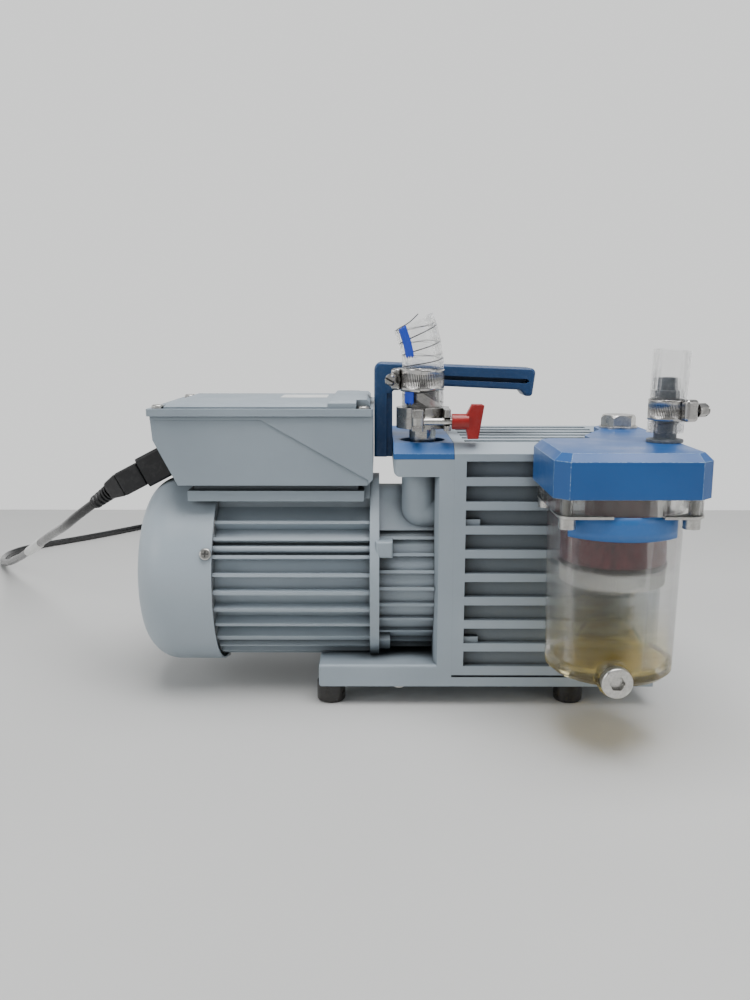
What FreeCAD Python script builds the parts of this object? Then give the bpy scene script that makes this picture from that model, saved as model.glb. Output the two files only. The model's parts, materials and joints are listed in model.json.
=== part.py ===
import FreeCAD, Part
import Sketcher
import math
import os
import re

# Two-stage rotary vane vacuum pump with its motor, inlet flange, exhaust filter and mains lead.
# Frame: X along the shaft, from the motor's fan to the oil case, with X = 0 at the face where
# the frame casting meets the oil case. Y points to the back. Z is up, with Z = 0 under the feet.

DIMENSIONS = (
    # whole machine
    ("axis_height", 82.5),
    ("half_depth", 66.35),
    # feet and base
    ("foot_radius", 9.9),
    ("foot_height", 14.2),
    ("foot_offset", 83.3),
    ("foot_spread", 53.0),
    ("base_left", -91.3),
    ("base_top", 29.6),
    # frame casting
    ("ring_radius", 69.8),
    ("ring_left", -56.0),
    ("ring_right", -49.6),
    ("bell_radius", 61.8),
    ("bell_root", 58.8),
    ("bell_bore", 46.0),
    ("wall_left", -14.0),
    ("column_left", -12.0),
    ("column_face", -9.8),
    ("column_bottom", 22.0),
    ("housing_left", -40.1),
    ("housing_bottom", 160.4),
    ("housing_top", 172.0),
    ("duct_radius", 14.0),
    ("duct_elbow", 134.0),
    # oil case
    ("case_bottom", 22.3),
    ("case_top", 182.0),
    ("case_shoulder", 175.7),
    ("shoulder_depth", 57.6),
    ("case_right", 134.0),
    ("cover_right", 140.0),
    ("cavity_depth", 52.0),
    ("cavity_bottom", 32.0),
    ("cavity_top", 160.0),
    ("slot_left", 8.0),
    ("slot_right", 124.0),
    ("slot_first", 165.4),
    ("slot_pitch", 16.41),
    ("slot_gap", 10.7),
    ("slot_deep", 9.0),
    ("slot_shallow", 7.0),
    ("groove_first", -46.0),
    ("groove_pitch", 18.2),
    ("groove_wide", 8.0),
    ("groove_deep", 5.0),
    ("groove_right", 110.0),
    ("rail_top", 20.8),
    # pump module
    ("cylinder_radius", 44.0),
    ("pump_bore", 30.0),
    ("pump_offset", 4.95),
    ("rotor_radius", 25.0),
    ("journal_radius", 9.0),
    ("stage_one_left", 6.0),
    ("stage_one_right", 50.0),
    ("stage_two_left", 58.0),
    ("stage_two_right", 80.0),
    ("end_plate_right", 90.0),
    ("running_gap", 0.05),
    ("vane_thick", 3.95),
    # motor
    ("motor_left", -163.0),
    ("motor_right", -56.1),
    ("motor_root", 55.5),
    ("motor_bore", 50.0),
    ("fin_tip", 64.0),
    ("fin_thick", 2.3),
    ("rod_circle", 59.6),
    ("rod_radius", 2.5),
    ("shaft_radius", 7.5),
    ("bearing_radius", 17.5),
    ("stack_left", -140.0),
    ("stack_right", -80.0),
    ("stack_bore", 28.0),
    ("armature_radius", 27.6),
    ("cover_radius", 68.0),
    ("cover_wall", 1.2),
    ("cover_left", -218.0),
    ("cover_corner", 24.0),
    ("fan_radius", 54.0),
    # terminal box
    ("box_left", -202.3),
    ("box_right", -54.0),
    ("box_bottom", 152.8),
    ("box_top", 199.6),
    ("box_half", 57.2),
    ("box_wall", 2.5),
    ("pad_left", -180.0),
    ("pad_right", -60.0),
    ("pad_bottom", 141.3),
    ("pad_top", 148.5),
    ("lid_left", -204.5),
    ("lid_right", -53.8),
    ("lid_half", 59.3),
    ("lid_rim_top", 204.5),
    ("lid_top", 207.7),
    ("plateau_left", -84.0),
    ("plateau_top", 210.0),
    # mains inlet on the sloped left face of the terminal box
    ("inlet_x", -193.9),
    ("inlet_z", 168.4),
    ("rocker_height", 0.904),
    ("inlet_tilt", -117.5),
    # inlet flange, clamp and hose
    ("port_x", -20.0),
    ("port_y", -38.0),
    ("port_radius", 9.1),
    ("flange_radius", 15.0),
    ("clamp_radius", 18.0),
    ("clamp_bottom", 190.5),
    ("clamp_top", 204.5),
    ("clamp_middle", 196.5),
    ("swing_x", -24.0),
    ("swing_y", -61.0),
    ("swing_radius", 2.4),
    ("nut_left", -1.9),
    ("hose_radius", 14.35),
    ("hose_bore", 11.05),
    # handle
    ("handle_left", -53.3),
    ("handle_right", -40.3),
    ("handle_half", 13.0),
    # exhaust filter
    ("head_left", 50.0),
    ("head_right", 141.0),
    ("head_front", -153.0),
    ("head_back", -68.5),
    ("head_bottom", 160.7),
    ("head_top", 187.0),
    ("neck_bottom", 172.4),
    ("neck_top", 186.5),
    ("bolt_x", 124.0),
    ("pot_x", 95.0),
    ("pot_y", -110.0),
    ("pot_bottom", 46.5),
    ("pot_flange_bottom", 150.6),
    ("pot_bolt_x", 36.0),
    ("pot_bolt_y", 33.5),
    ("drain_x", 88.0),
    ("drain_z", 54.5),
    ("nozzle_x", 128.6),
    ("nozzle_y", -93.2),
    ("outlet_hose_radius", 11.5),
    ("outlet_hose_bore", 8.2),
    # mains lead
    ("cord_diameter", 7.0),
    ("coil_x", -306.0),
    ("coil_y", 507.0),
    ("coil_mean", 38.5),
    ("coil_height", 21.0),
)

doc = FreeCAD.newDocument("VacuumPump")
sheet = doc.addObject("Spreadsheet::Sheet", "Dimensions")
for row, (alias, value) in enumerate(DIMENSIONS, start=1):
    sheet.set("A%d" % row, alias)
    sheet.set("B%d" % row, str(value))
    sheet.setAlias("B%d" % row, alias)
doc.recompute()

ALIASES = {alias for alias, value in DIMENSIONS}
PIECES = []
TURNS = {
    "X": FreeCAD.Rotation(FreeCAD.Vector(0, 1, 0), 90),
    "Y": FreeCAD.Rotation(FreeCAD.Vector(1, 0, 0), -90),
    "Z": FreeCAD.Rotation(),
}


# ---------------------------------------------------------------- helpers

def formula(text):
    """Write a dimension's name as the spreadsheet cell that holds it."""
    def cell(match):
        word = match.group(0)
        return "Dimensions." + word if word in ALIASES else word
    return re.sub(r"[a-z_]+", cell, str(text))


def number(text):
    """Value of a formula, in millimetres or degrees."""
    return float(sheet.evalExpression(formula(text)))


def bind(thing, **formulas):
    for name, text in formulas.items():
        thing.setExpression(name, formula(text))


def put(thing, x, y, z):
    for letter, text in zip("xyz", (x, y, z)):
        thing.setExpression("Placement.Base." + letter, formula(text))
    return thing


def block(x_low, x_high, y_low, y_high, z_low, z_high):
    box = doc.addObject("Part::Box", "Block")
    bind(
        box,
        Length="(%s) - (%s)" % (x_high, x_low),
        Width="(%s) - (%s)" % (y_high, y_low),
        Height="(%s) - (%s)" % (z_high, z_low),
    )
    return put(box, x_low, y_low, z_low)


def rod(axis, x, y, z, radius, length):
    """Cylinder that starts at x, y, z and runs along an axis."""
    cylinder = doc.addObject("Part::Cylinder", "Rod")
    cylinder.Placement.Rotation = TURNS[axis]
    bind(cylinder, Radius=radius, Height=length)
    return put(cylinder, x, y, z)


def ball(x, y, z, radius):
    sphere = doc.addObject("Part::Sphere", "Ball")
    bind(sphere, Radius=radius)
    return put(sphere, x, y, z)


def cone(axis, x, y, z, start_radius, end_radius, length):
    frustum = doc.addObject("Part::Cone", "Cone")
    frustum.Placement.Rotation = TURNS[axis]
    bind(frustum, Radius1=start_radius, Radius2=end_radius, Height=length)
    return put(frustum, x, y, z)


def hexagon(axis, x, y, z, across_corners, length):
    prism = doc.addObject("Part::Prism", "Hexagon")
    prism.Polygon = 6
    prism.Placement.Rotation = TURNS[axis]
    bind(prism, Circumradius="(%s) / 2" % across_corners, Height=length)
    return put(prism, x, y, z)


def spoke(x_low, x_high, root, tip, thick, angle):
    """Bar along X, standing out radially from the shaft axis; angle 0 is up and 90 is the front."""
    box = doc.addObject("Part::Box", "Spoke")
    box.Placement.Rotation = FreeCAD.Rotation(FreeCAD.Vector(1, 0, 0), angle)
    bind(box, Length="(%s) - (%s)" % (x_high, x_low), Width=thick, Height="(%s) - (%s)" % (tip, root))
    y = "-(%s) / 2 * cos(%s) - (%s) * sin(%s)" % (thick, angle, root, angle)
    z = "axis_height - (%s) / 2 * sin(%s) + (%s) * cos(%s)" % (thick, angle, root, angle)
    return put(box, x_low, y, z)


def join(*things):
    fusion = doc.addObject("Part::MultiFuse", "Joined")
    fusion.Shapes = list(things)
    return fusion


def cut(base, *tools):
    remainder = doc.addObject("Part::Cut", "Remainder")
    remainder.Base = base
    remainder.Tool = tools[0] if len(tools) == 1 else join(*tools)
    return remainder


def shared(first, second):
    overlap = doc.addObject("Part::Common", "Shared")
    overlap.Base = first
    overlap.Tool = second
    return overlap


def group(*things):
    compound = doc.addObject("Part::Compound", "Group")
    compound.Links = list(things)
    return compound


def mirrored(source):
    """The same thing on the other side of the shaft's vertical plane."""
    mirror = doc.addObject("Part::Mirroring", "Mirrored")
    mirror.Source = source
    mirror.Normal = (0, 1, 0)
    return mirror


def softened(base, size, wanted, kind="Part::Fillet"):
    """Round or bevel the edges that wanted(edge) picks."""
    doc.recompute()
    feature = doc.addObject(kind, "Softened")
    feature.Base = base
    feature.Edges = [(i, size, size) for i, edge in enumerate(base.Shape.Edges, start=1) if wanted(edge)]
    return feature


def tube(axis, x, y, z, outer, inner, length):
    return cut(rod(axis, x, y, z, outer, length), rod(axis, x, y, z, inner, length))


def outline_body(plane, outline):
    """A body with one closed sketch of straight sides, every corner bound to its formulas."""
    body = doc.addObject("PartDesign::Body", "Body")
    sketch = body.newObject("Sketcher::SketchObject", "Outline")
    origin_plane = next(item for item in body.Origin.OriginFeatures if item.Role == plane + "_Plane")
    sketch.AttachmentSupport = [(origin_plane, "")]
    sketch.MapMode = "FlatFace"
    corners = [FreeCAD.Vector(number(u), number(v), 0) for u, v in outline]
    count = len(corners)
    for i in range(count):
        sketch.addGeometry(Part.LineSegment(corners[i], corners[(i + 1) % count]))
    for i in range(count):
        sketch.addConstraint(Sketcher.Constraint("Coincident", i, 2, (i + 1) % count, 1))
        for kind, text, value in zip(("DistanceX", "DistanceY"), outline[i], corners[i]):
            index = sketch.addConstraint(Sketcher.Constraint(kind, -1, 1, i, 1, value))
            sketch.setExpression("Constraints[%d]" % index, formula(text))
    return body, sketch


def padded(plane, outline, low, high):
    """Prism of an outline, from low to high along the plane's normal (X, Y or Z)."""
    body, sketch = outline_body(plane, outline)
    pad = body.newObject("PartDesign::Pad", "Pad")
    pad.Profile = sketch
    pad.Reversed = plane == "XZ"
    pad.setExpression("Length", formula("(%s) - (%s)" % (high, low)))
    offsets = {"XY": ("0", "0", low), "XZ": ("0", low, "0"), "YZ": (low, "0", "0")}
    return put(body, *offsets[plane])


def turned(axis, outline, x, y, z):
    """Solid of revolution; the outline is (along, radius) about X or (radius, along) about Z."""
    body, sketch = outline_body("XZ", outline)
    revolution = body.newObject("PartDesign::Revolution", "Revolution")
    revolution.Profile = sketch
    revolution.ReferenceAxis = (sketch, ["H_Axis" if axis == "X" else "V_Axis"])
    revolution.Angle = 360
    return put(body, x, y, z)


def piece(label, thing):
    """Name a finished sub-part and keep it for export."""
    thing.Label = label
    PIECES.append(thing)
    return thing


def polar(count, start=0.0):
    """Evenly spaced angles round the shaft, in degrees."""
    return [start + 360.0 * i / count for i in range(count)]


def both_sides(first, step):
    """Angles from the first one down to the bottom, on the front and on the back."""
    front = [first + step * i for i in range(int((180 - first) / step) + 1)]
    return front + [-angle for angle in front]


def at_mains_inlet(thing):
    """Stand a thing that is built about its own origin on the sloped face, its Z pointing outwards."""
    holder = group(thing)
    holder.Placement.Rotation = FreeCAD.Rotation(FreeCAD.Vector(0, 1, 0), number("inlet_tilt"))
    return put(holder, "inlet_x", "0", "inlet_z")


def flat_at(axis_letter, value):
    """Test for edges that lie in the plane axis = value."""
    place = "xyz".index(axis_letter)

    def test(edge):
        return all(abs(vertex.Point[place] - value) < 0.01 for vertex in edge.Vertexes)
    return test


def across_at(x, z):
    """Edges that run along Y through one corner of an outline."""
    corner = FreeCAD.Vector(number(x), 0, number(z))

    def wanted(edge):
        return all(
            abs(vertex.Point.x - corner.x) < 0.01 and abs(vertex.Point.z - corner.z) < 0.01
            for vertex in edge.Vertexes
        )

    return wanted


def upright(edge):
    """Test for straight vertical edges."""
    ends = [vertex.Point for vertex in edge.Vertexes]
    return len(ends) == 2 and abs(ends[0].x - ends[1].x) + abs(ends[0].y - ends[1].y) < 0.01


# ---------------------------------------------------------------- frame casting and base

ROD_ANGLES = (64.4, -64.4, 131.9, -131.9)
BELL_FIN_FIRST = 57.3
BELL_FIN_STEP = 10.9


def frame_casting():
    ring = rod("X", "ring_left", "0", "axis_height", "ring_radius", "ring_right - ring_left")
    bell = rod("X", "ring_right", "0", "axis_height", "bell_root", "column_left - ring_right")
    crown = shared(
        rod("X", "ring_right", "0", "axis_height", "bell_radius", "column_left - ring_right"),
        block("ring_right", "column_left", "-half_depth", "half_depth", "axis_height + 38", "170"),
    )
    fins = [
        spoke("ring_right", "column_left", "bell_root - 3", "bell_radius", "2.2", angle)
        for angle in both_sides(BELL_FIN_FIRST, BELL_FIN_STEP)
    ]
    column = padded(
        "XY",
        (
            ("0", "-half_depth"), ("0", "half_depth"), ("column_face", "half_depth"),
            ("column_left", "half_depth - 6"), ("column_left", "6 - half_depth"),
            ("column_face", "-half_depth"),
        ),
        "column_bottom", "housing_top",
    )
    housing = softened(
        block("housing_left", "0", "-half_depth", "half_depth", "housing_bottom", "housing_top"),
        4.0,
        lambda edge: flat_at("x", number("housing_left"))(edge)
        and (flat_at("z", number("housing_bottom"))(edge) or upright(edge)),
    )
    duct = rod("Z", "port_x", "port_y", "duct_elbow", "duct_radius", "housing_bottom - duct_elbow")
    elbow = ball("port_x", "port_y", "duct_elbow", "duct_radius")
    branch = rod("X", "port_x", "port_y", "duct_elbow", "duct_radius", "column_left - port_x")
    foot = softened(
        block("base_left", "0", "-half_depth", "half_depth", "foot_height", "base_top"),
        2.0,
        lambda edge: flat_at("x", number("base_left"))(edge)
        or flat_at("z", number("base_top"))(edge),
    )
    upper_lug = softened(
        block("-52", "-40.6", "-65", "-48", "104.6", "116"),
        1.5,
        flat_at("y", -65.0),
    )
    lower_lugs = [spoke("-52", "-42", "52", "66", "12", angle) for angle in ROD_ANGLES[2:]]
    metal = join(
        ring, bell, crown, column, housing, duct, elbow, branch, foot,
        upper_lug, mirrored(upper_lug), *fins, *lower_lugs,
    )
    rod_holes = [
        rod_along_motor("ring_left - 1", "-43", "rod_radius + running_gap", angle) for angle in ROD_ANGLES
    ]
    return cut(
        metal,
        rod("X", "base_left - 1", "0", "axis_height", "66.5", "ring_left - base_left + 1"),
        rod("X", "ring_left - 1", "0", "axis_height", "bell_bore", "wall_left - ring_left + 1"),
        rod("X", "wall_left - 1", "0", "axis_height", "16", "9"),
        rod("X", "wall_left - 1", "0", "axis_height", "shaft_radius + running_gap", "16"),
        block("ring_left - 1", "ring_right + 1", "-20", "20", "5", "foot_height"),
        rod("Z", "port_x", "port_y", "150", "port_radius", "30"),
        rod("Z", "port_x", "port_y", "duct_elbow", "7", "20"),
        rod("X", "port_x", "port_y", "140", "6", "25"),
        rod("Z", "-36", "-60", "10", "2.05", "14"),
        *rod_holes,
    )


def rod_along_motor(x_low, x_high, radius, angle):
    """Bar parallel to the shaft, on the circle of the tie rods."""
    y = "-rod_circle * sin(%s)" % angle
    z = "axis_height + rod_circle * cos(%s)" % angle
    return rod("X", x_low, y, z, radius, "(%s) - (%s)" % (x_high, x_low))


def rubber_feet():
    feet = []
    for x in ("-foot_offset", "foot_offset"):
        for side in ("-foot_spread", "foot_spread"):
            tip = cone("Z", x, side, "0", "foot_radius - 1", "foot_radius", "1.2")
            feet.append(join(tip, rod("Z", x, side, "1.2", "foot_radius", "foot_height - 1.2")))
    return group(*feet)


# ---------------------------------------------------------------- oil case

CASE_OUTLINE = (
    ("-half_depth", "case_bottom"), ("half_depth", "case_bottom"),
    ("half_depth", "case_shoulder"), ("shoulder_depth", "case_top"),
    ("-shoulder_depth", "case_top"), ("-half_depth", "case_shoulder"),
)
SLOT_COUNT = 9
GROOVE_COUNT = 6
COVER_SCREW_HEIGHTS = ("29", "98", "167")
PLUG_PLACES = (("-30", "40"), ("40", "150"))


def neck_pocket():
    """Room in the top of the case for the neck of the filter head."""
    return padded(
        "XY",
        (
            ("106.5", "-13"), ("106.5", "8"), ("114.5", "17"), ("cover_right + 1", "17"),
            ("cover_right + 1", "-68"), ("87", "-68"), ("88", "-50"),
        ),
        "neck_bottom - 0.4", "case_top + 1",
    )


def side_slots():
    """Long louvre slots between the cooling ribs of the front face, deeper at the top."""
    slots = []
    for i in range(SLOT_COUNT):
        wedge = doc.addObject("Part::Wedge", "Slot")
        wedge.Placement.Rotation = FreeCAD.Rotation(FreeCAD.Vector(1, 0, 0), 90)
        bind(
            wedge,
            Xmin="0", X2min="0", Xmax="slot_right - slot_left", X2max="slot_right - slot_left",
            Ymin="0", Ymax="slot_gap",
            Zmin="half_depth - slot_shallow", Z2min="half_depth - slot_deep",
            Zmax="half_depth + 1", Z2max="half_depth + 1",
        )
        put(wedge, "slot_left", "0", "slot_first - slot_gap / 2 - %d * slot_pitch" % i)
        slots.append(wedge)
    return join(*slots)


def slot_tabs():
    """Small cast tabs that stand on two of the ribs at their left end."""
    tabs = []
    for i in (2, 7):
        low = "slot_first - slot_gap / 2 - %d * slot_pitch - 0.5" % i
        tabs.append(block("slot_left - 1", "18", "3 - half_depth", "10 - half_depth", low, low + " + 4.5"))
    return join(*tabs)


def oil_case():
    shell = padded("YZ", CASE_OUTLINE, "0", "case_right")
    slots = side_slots()
    grooves = []
    for i in range(GROOVE_COUNT):
        middle = "groove_first + %d * groove_pitch" % i
        low = middle + " - groove_wide / 2"
        high = middle + " + groove_wide / 2"
        floor = "case_top - groove_deep"
        grooves.append(block("slot_left", "groove_right", low, high, floor, "case_top + 1"))
    rail = block("0", "cover_right - 1", "-half_depth", "half_depth", "foot_height", "rail_top")
    rail_web = block(
        "0", "cover_right - 3", "4 - half_depth", "half_depth - 4", "rail_top - 1", "case_bottom",
    )
    ribbed = cut(shell, slots, mirrored(slots), *grooves)
    tabs = slot_tabs()
    screw_holes = [
        rod("X", "case_right - 14", side + " * 59.4", height, "2.55", "15")
        for side in ("-1", "1") for height in COVER_SCREW_HEIGHTS
    ]
    return cut(
        join(ribbed, rail, rail_web, tabs, mirrored(tabs)),
        block("-1", "case_right + 1", "-cavity_depth", "cavity_depth", "cavity_bottom", "cavity_top"),
        neck_pocket(),
        rod("Z", "bolt_x", "0", "cavity_top - 1", "7", "20"),
        *screw_holes,
    )


def end_cover():
    plate = padded("YZ", CASE_OUTLINE, "case_right", "cover_right")
    holes = [rod("X", "case_right - 1", side + " * 59.4", height, "2.75", "10")
             for side in ("-1", "1") for height in COVER_SCREW_HEIGHTS]
    plug_holes = [rod("X", "case_right - 1", y, z, "7.95", "10") for y, z in PLUG_PLACES]
    return cut(
        plate,
        neck_pocket(),
        rod("X", "case_right - 1", "-18", "76", "13.05", "10"),
        rod("X", "case_right - 1", "25", "108", "5.05", "10"),
        *holes, *plug_holes,
    )


def oil_sight_glass():
    return join(
        rod("X", "case_right", "-18", "76", "13", "cover_right - case_right"),
        rod("X", "cover_right", "-18", "76", "15.5", "2.5"),
    )


def oil_plugs():
    plugs = []
    for y, z in PLUG_PLACES:
        plugs.append(join(
            rod("X", "case_right", y, z, "7.9", "cover_right - case_right"),
            rod("X", "cover_right", y, z, "10.5", "1.5"),
            hexagon("X", "cover_right + 1.5", y, z, "19.6", "5.5"),
        ))
    return group(*plugs)


def gas_ballast_knob():
    grip = rod("X", "cover_right + 0.4", "25", "108", "12", "9.6")
    flutes = []
    for angle in polar(8):
        y = "25 + 13.2 * cos(%s)" % angle
        z = "108 + 13.2 * sin(%s)" % angle
        flutes.append(rod("X", "cover_right", y, z, "2.6", "12"))
    stem = rod("X", "case_right", "25", "108", "5", "7")
    return join(cut(grip, *flutes), stem)


def cap_screw(x, y, z, shank):
    """Socket-head screw with its head towards +X."""
    head = rod("X", x, y, z, "4.25", "5")
    socket = hexagon("X", "(%s) + 2.2" % x, y, z, "4.6", "3")
    thread = rod("X", "(%s) - (%s)" % (x, shank), y, z, "2.5", shank)
    return join(cut(head, socket), thread)


def end_cover_screws():
    return [cap_screw("cover_right", side + " * 59.4", height, "17")
            for side in ("-1", "1") for height in COVER_SCREW_HEIGHTS]


# ---------------------------------------------------------------- pump module

def pump_plates():
    plates = (
        ("0", "stage_one_left", "shaft_radius + running_gap"),
        ("stage_one_right", "stage_two_left", "journal_radius + running_gap"),
        ("stage_two_right", "end_plate_right", "journal_radius + running_gap"),
    )
    return group(*[
        tube("X", low, "0", "axis_height", "cylinder_radius", bore, "(%s) - (%s)" % (high, low))
        for low, high, bore in plates
    ])


def pump_cylinders():
    cylinders = []
    for low, high in (("stage_one_left", "stage_one_right"), ("stage_two_left", "stage_two_right")):
        length = "%s - %s" % (high, low)
        cylinders.append(cut(
            rod("X", low, "0", "axis_height", "cylinder_radius", length),
            rod("X", low, "0", "axis_height - pump_offset", "pump_bore", length),
            block(low, high, "-12", "12", "axis_height + 41.5", "axis_height + 50"),
        ))
    return group(*cylinders)


def stage_spans():
    """Each stage's rotor and vanes, a running gap short of the plates at both ends."""
    return (
        ("stage_one_left + running_gap", "stage_one_right - running_gap"),
        ("stage_two_left + running_gap", "stage_two_right - running_gap"),
    )


def pump_rotor():
    cores = [rod("X", low, "0", "axis_height", "rotor_radius", "(%s) - (%s)" % (high, low))
             for low, high in stage_spans()]
    slots = [spoke(low, high, "rotor_radius - 18", "rotor_radius + 1", "vane_thick + 0.05", angle)
             for low, high in stage_spans() for angle in polar(2)]
    shaft = rod("X", "-26", "0", "axis_height", "shaft_radius", "26 + stage_one_left + 1")
    journal = rod("X", "stage_one_right - 1", "0", "axis_height", "journal_radius", "10")
    tail = rod("X", "stage_two_right - 1", "0", "axis_height", "journal_radius", "10")
    return join(cut(join(*cores), *slots), shaft, cut(join(journal, tail), *slots))


def pump_vanes():
    return group(*[
        spoke(low, high, "rotor_radius - 17.3", "rotor_radius - 0.2", "vane_thick", angle)
        for low, high in stage_spans() for angle in polar(2)
    ])


def exhaust_valve():
    seat = "axis_height + 41.5"
    leaf = block("14", "42", "-9", "9", seat, seat + " + 1")
    stop = block("14", "42", "-5", "5", seat + " + 1", seat + " + 4")
    return join(leaf, stop)


def shaft_seal():
    return tube("X", "wall_left", "0", "axis_height", "15.95", "shaft_radius + running_gap", "8")


def coupling_hubs():
    hubs = []
    for low, jaw_low, start in (("-50", "-39", 0), ("-26", "-36.5", 60)):
        hub = rod("X", low, "0", "axis_height", "18", "12")
        jaws = [spoke(jaw_low, "%s + 11.5" % jaw_low, "9.6", "17", "6", angle) for angle in polar(3, start)]
        hubs.append(cut(
            join(hub, *jaws),
            rod("X", "-51", "0", "axis_height", "shaft_radius", "40"),
        ))
    return group(*hubs)


def coupling_spider():
    legs = [spoke("-36.4", "-27.6", "5", "16.8", "3.2", angle) for angle in polar(6, 30)]
    return join(rod("X", "-36.4", "0", "axis_height", "7.2", "8.8"), *legs)


# ---------------------------------------------------------------- motor

FIN_FIRST = 47.5
FIN_STEP = 11.25
STACK_LENGTH = "stack_right - stack_left"


def motor_housing():
    barrel = rod("X", "motor_left", "0", "axis_height", "motor_root", "motor_right - motor_left")
    crown = shared(
        rod("X", "motor_left", "0", "axis_height", "motor_root + 2", "motor_right - motor_left"),
        block("motor_left", "motor_right", "-50", "50", "axis_height + 41", "145"),
    )
    fins = [
        spoke("motor_left", "motor_right", "motor_root - 3", "fin_tip", "fin_thick", angle)
        for angle in both_sides(FIN_FIRST, FIN_STEP)
    ]
    saddle = block("motor_left", "motor_right", "-28", "28", "130", "pad_bottom")
    return cut(
        join(barrel, crown, saddle, *fins),
        rod("X", "motor_left - 1", "0", "axis_height", "motor_bore", "motor_right - motor_left + 2"),
        rod("Z", "-110", "0", "120", "8", "30"),
    )


def tie_rods():
    return group(*[rod_along_motor("-170", "-44", "rod_radius", angle) for angle in ROD_ANGLES])


def rear_end_shield():
    disc = rod("X", "-170", "0", "axis_height", "fin_tip", "motor_left - 0.1 + 170")
    boss = rod("X", "-170", "0", "axis_height", "22", "17")
    holes = [rod_along_motor("-171", "-162", "rod_radius + running_gap", angle) for angle in ROD_ANGLES]
    threads = [cover_screw_shank(angle, "2.1") for angle in COVER_SCREW_ANGLES]
    pads = [
        spoke("-170", "motor_left - 0.1", "fin_tip - 4", "cover_radius - cover_wall - 0.4", "12", angle)
        for angle in COVER_SCREW_ANGLES
    ]
    return cut(
        join(disc, boss, *pads),
        rod("X", "-167", "0", "axis_height", "bearing_radius + 0.02", "15"),
        rod("X", "-171", "0", "axis_height", "journal_radius", "20"),
        *holes, *threads,
    )


def front_end_shield():
    disc = rod("X", "-64", "0", "axis_height", "motor_bore - 0.05", "motor_right + 64")
    boss = rod("X", "-69.5", "0", "axis_height", "22", "8")
    return cut(
        join(disc, boss),
        rod("X", "-70", "0", "axis_height", "bearing_radius + 0.02", "12"),
        rod("X", "-70", "0", "axis_height", "journal_radius", "16"),
    )


def stator_core():
    return tube("X", "stack_left", "0", "axis_height", "motor_bore - 0.05", "stack_bore", STACK_LENGTH)


def stator_windings():
    rear = tube("X", "stack_left - 10", "0", "axis_height", "46", "30", "10")
    front = tube("X", "stack_right", "0", "axis_height", "46", "30", "9")
    return group(rear, front)


def rotor_core():
    return tube("X", "stack_left", "0", "axis_height", "armature_radius", "shaft_radius", STACK_LENGTH)


def motor_shaft():
    return rod("X", "-196", "0", "axis_height", "shaft_radius", "196 - 38")


def motor_bearings():
    return group(*[
        tube("X", low, "0", "axis_height", "bearing_radius", "shaft_radius + running_gap", "11")
        for low in ("-166", "-69")
    ])


def cooling_fan():
    hub = rod("X", "-196", "0", "axis_height", "12", "18")
    plate = rod("X", "-181", "0", "axis_height", "fan_radius - 6", "2.5")
    blades = [spoke("-196", "-180", "10", "fan_radius", "2", angle) for angle in polar(9)]
    return cut(join(hub, plate, *blades), rod("X", "-197", "0", "axis_height", "shaft_radius", "20"))


COVER_SCREW_ANGLES = (69, -69, 180)
GRILLE_RINGS = ((0, 1), (12, 6), (23, 12), (34, 18))


def cover_screw_shank(angle, radius):
    """Radial pin through the rim of the fan cover."""
    shank = doc.addObject("Part::Cylinder", "Shank")
    shank.Placement.Rotation = FreeCAD.Rotation(FreeCAD.Vector(1, 0, 0), angle)
    bind(shank, Radius=radius, Height="cover_radius - 56")
    return put(shank, "-166.9", "-56 * sin(%s)" % angle, "axis_height + 56 * cos(%s)" % angle)


def fan_cover():
    length = "motor_left - cover_left"
    left_rim = flat_at("x", number("cover_left"))
    inner_rim = flat_at("x", number("cover_left + cover_wall"))
    outer = softened(
        rod("X", "cover_left", "0", "axis_height", "cover_radius", length),
        number("cover_corner"), left_rim,
    )
    inner = softened(
        rod("X", "cover_left + cover_wall", "0", "axis_height", "cover_radius - cover_wall", length),
        number("cover_corner - cover_wall"), inner_rim,
    )
    vents = []
    for circle, count in GRILLE_RINGS:
        for angle in polar(count):
            y = "%s * sin(%s)" % (circle, angle)
            z = "axis_height + %s * cos(%s)" % (circle, angle)
            vents.append(rod("X", "cover_left - 1", y, z, "3.6", "4"))
    holes = [cover_screw_shank(angle, "2.2") for angle in COVER_SCREW_ANGLES]
    return cut(outer, inner, *vents, *holes)


# ---------------------------------------------------------------- terminal box

def terminal_box_base():
    plate = block("pad_left", "pad_right", "-52", "52", "pad_bottom", "pad_top")
    neck = block("pad_left + 4", "pad_right - 4", "-48", "48", "pad_top - 1", "box_bottom")
    bridge = block("pad_right - 1", "ring_left - 0.1", "-40", "48", "pad_bottom", "box_bottom")
    return cut(
        join(plate, neck, bridge),
        block("-158", "pad_right - 8", "-44", "44", "pad_bottom + 3.5", "box_bottom + 1"),
        rod("X", "pad_left - 1", "0", "axis_height", "cover_radius + 1", "motor_left - pad_left + 1.3"),
        rod("Z", "-110", "0", "140", "8", "15"),
    )


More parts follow.
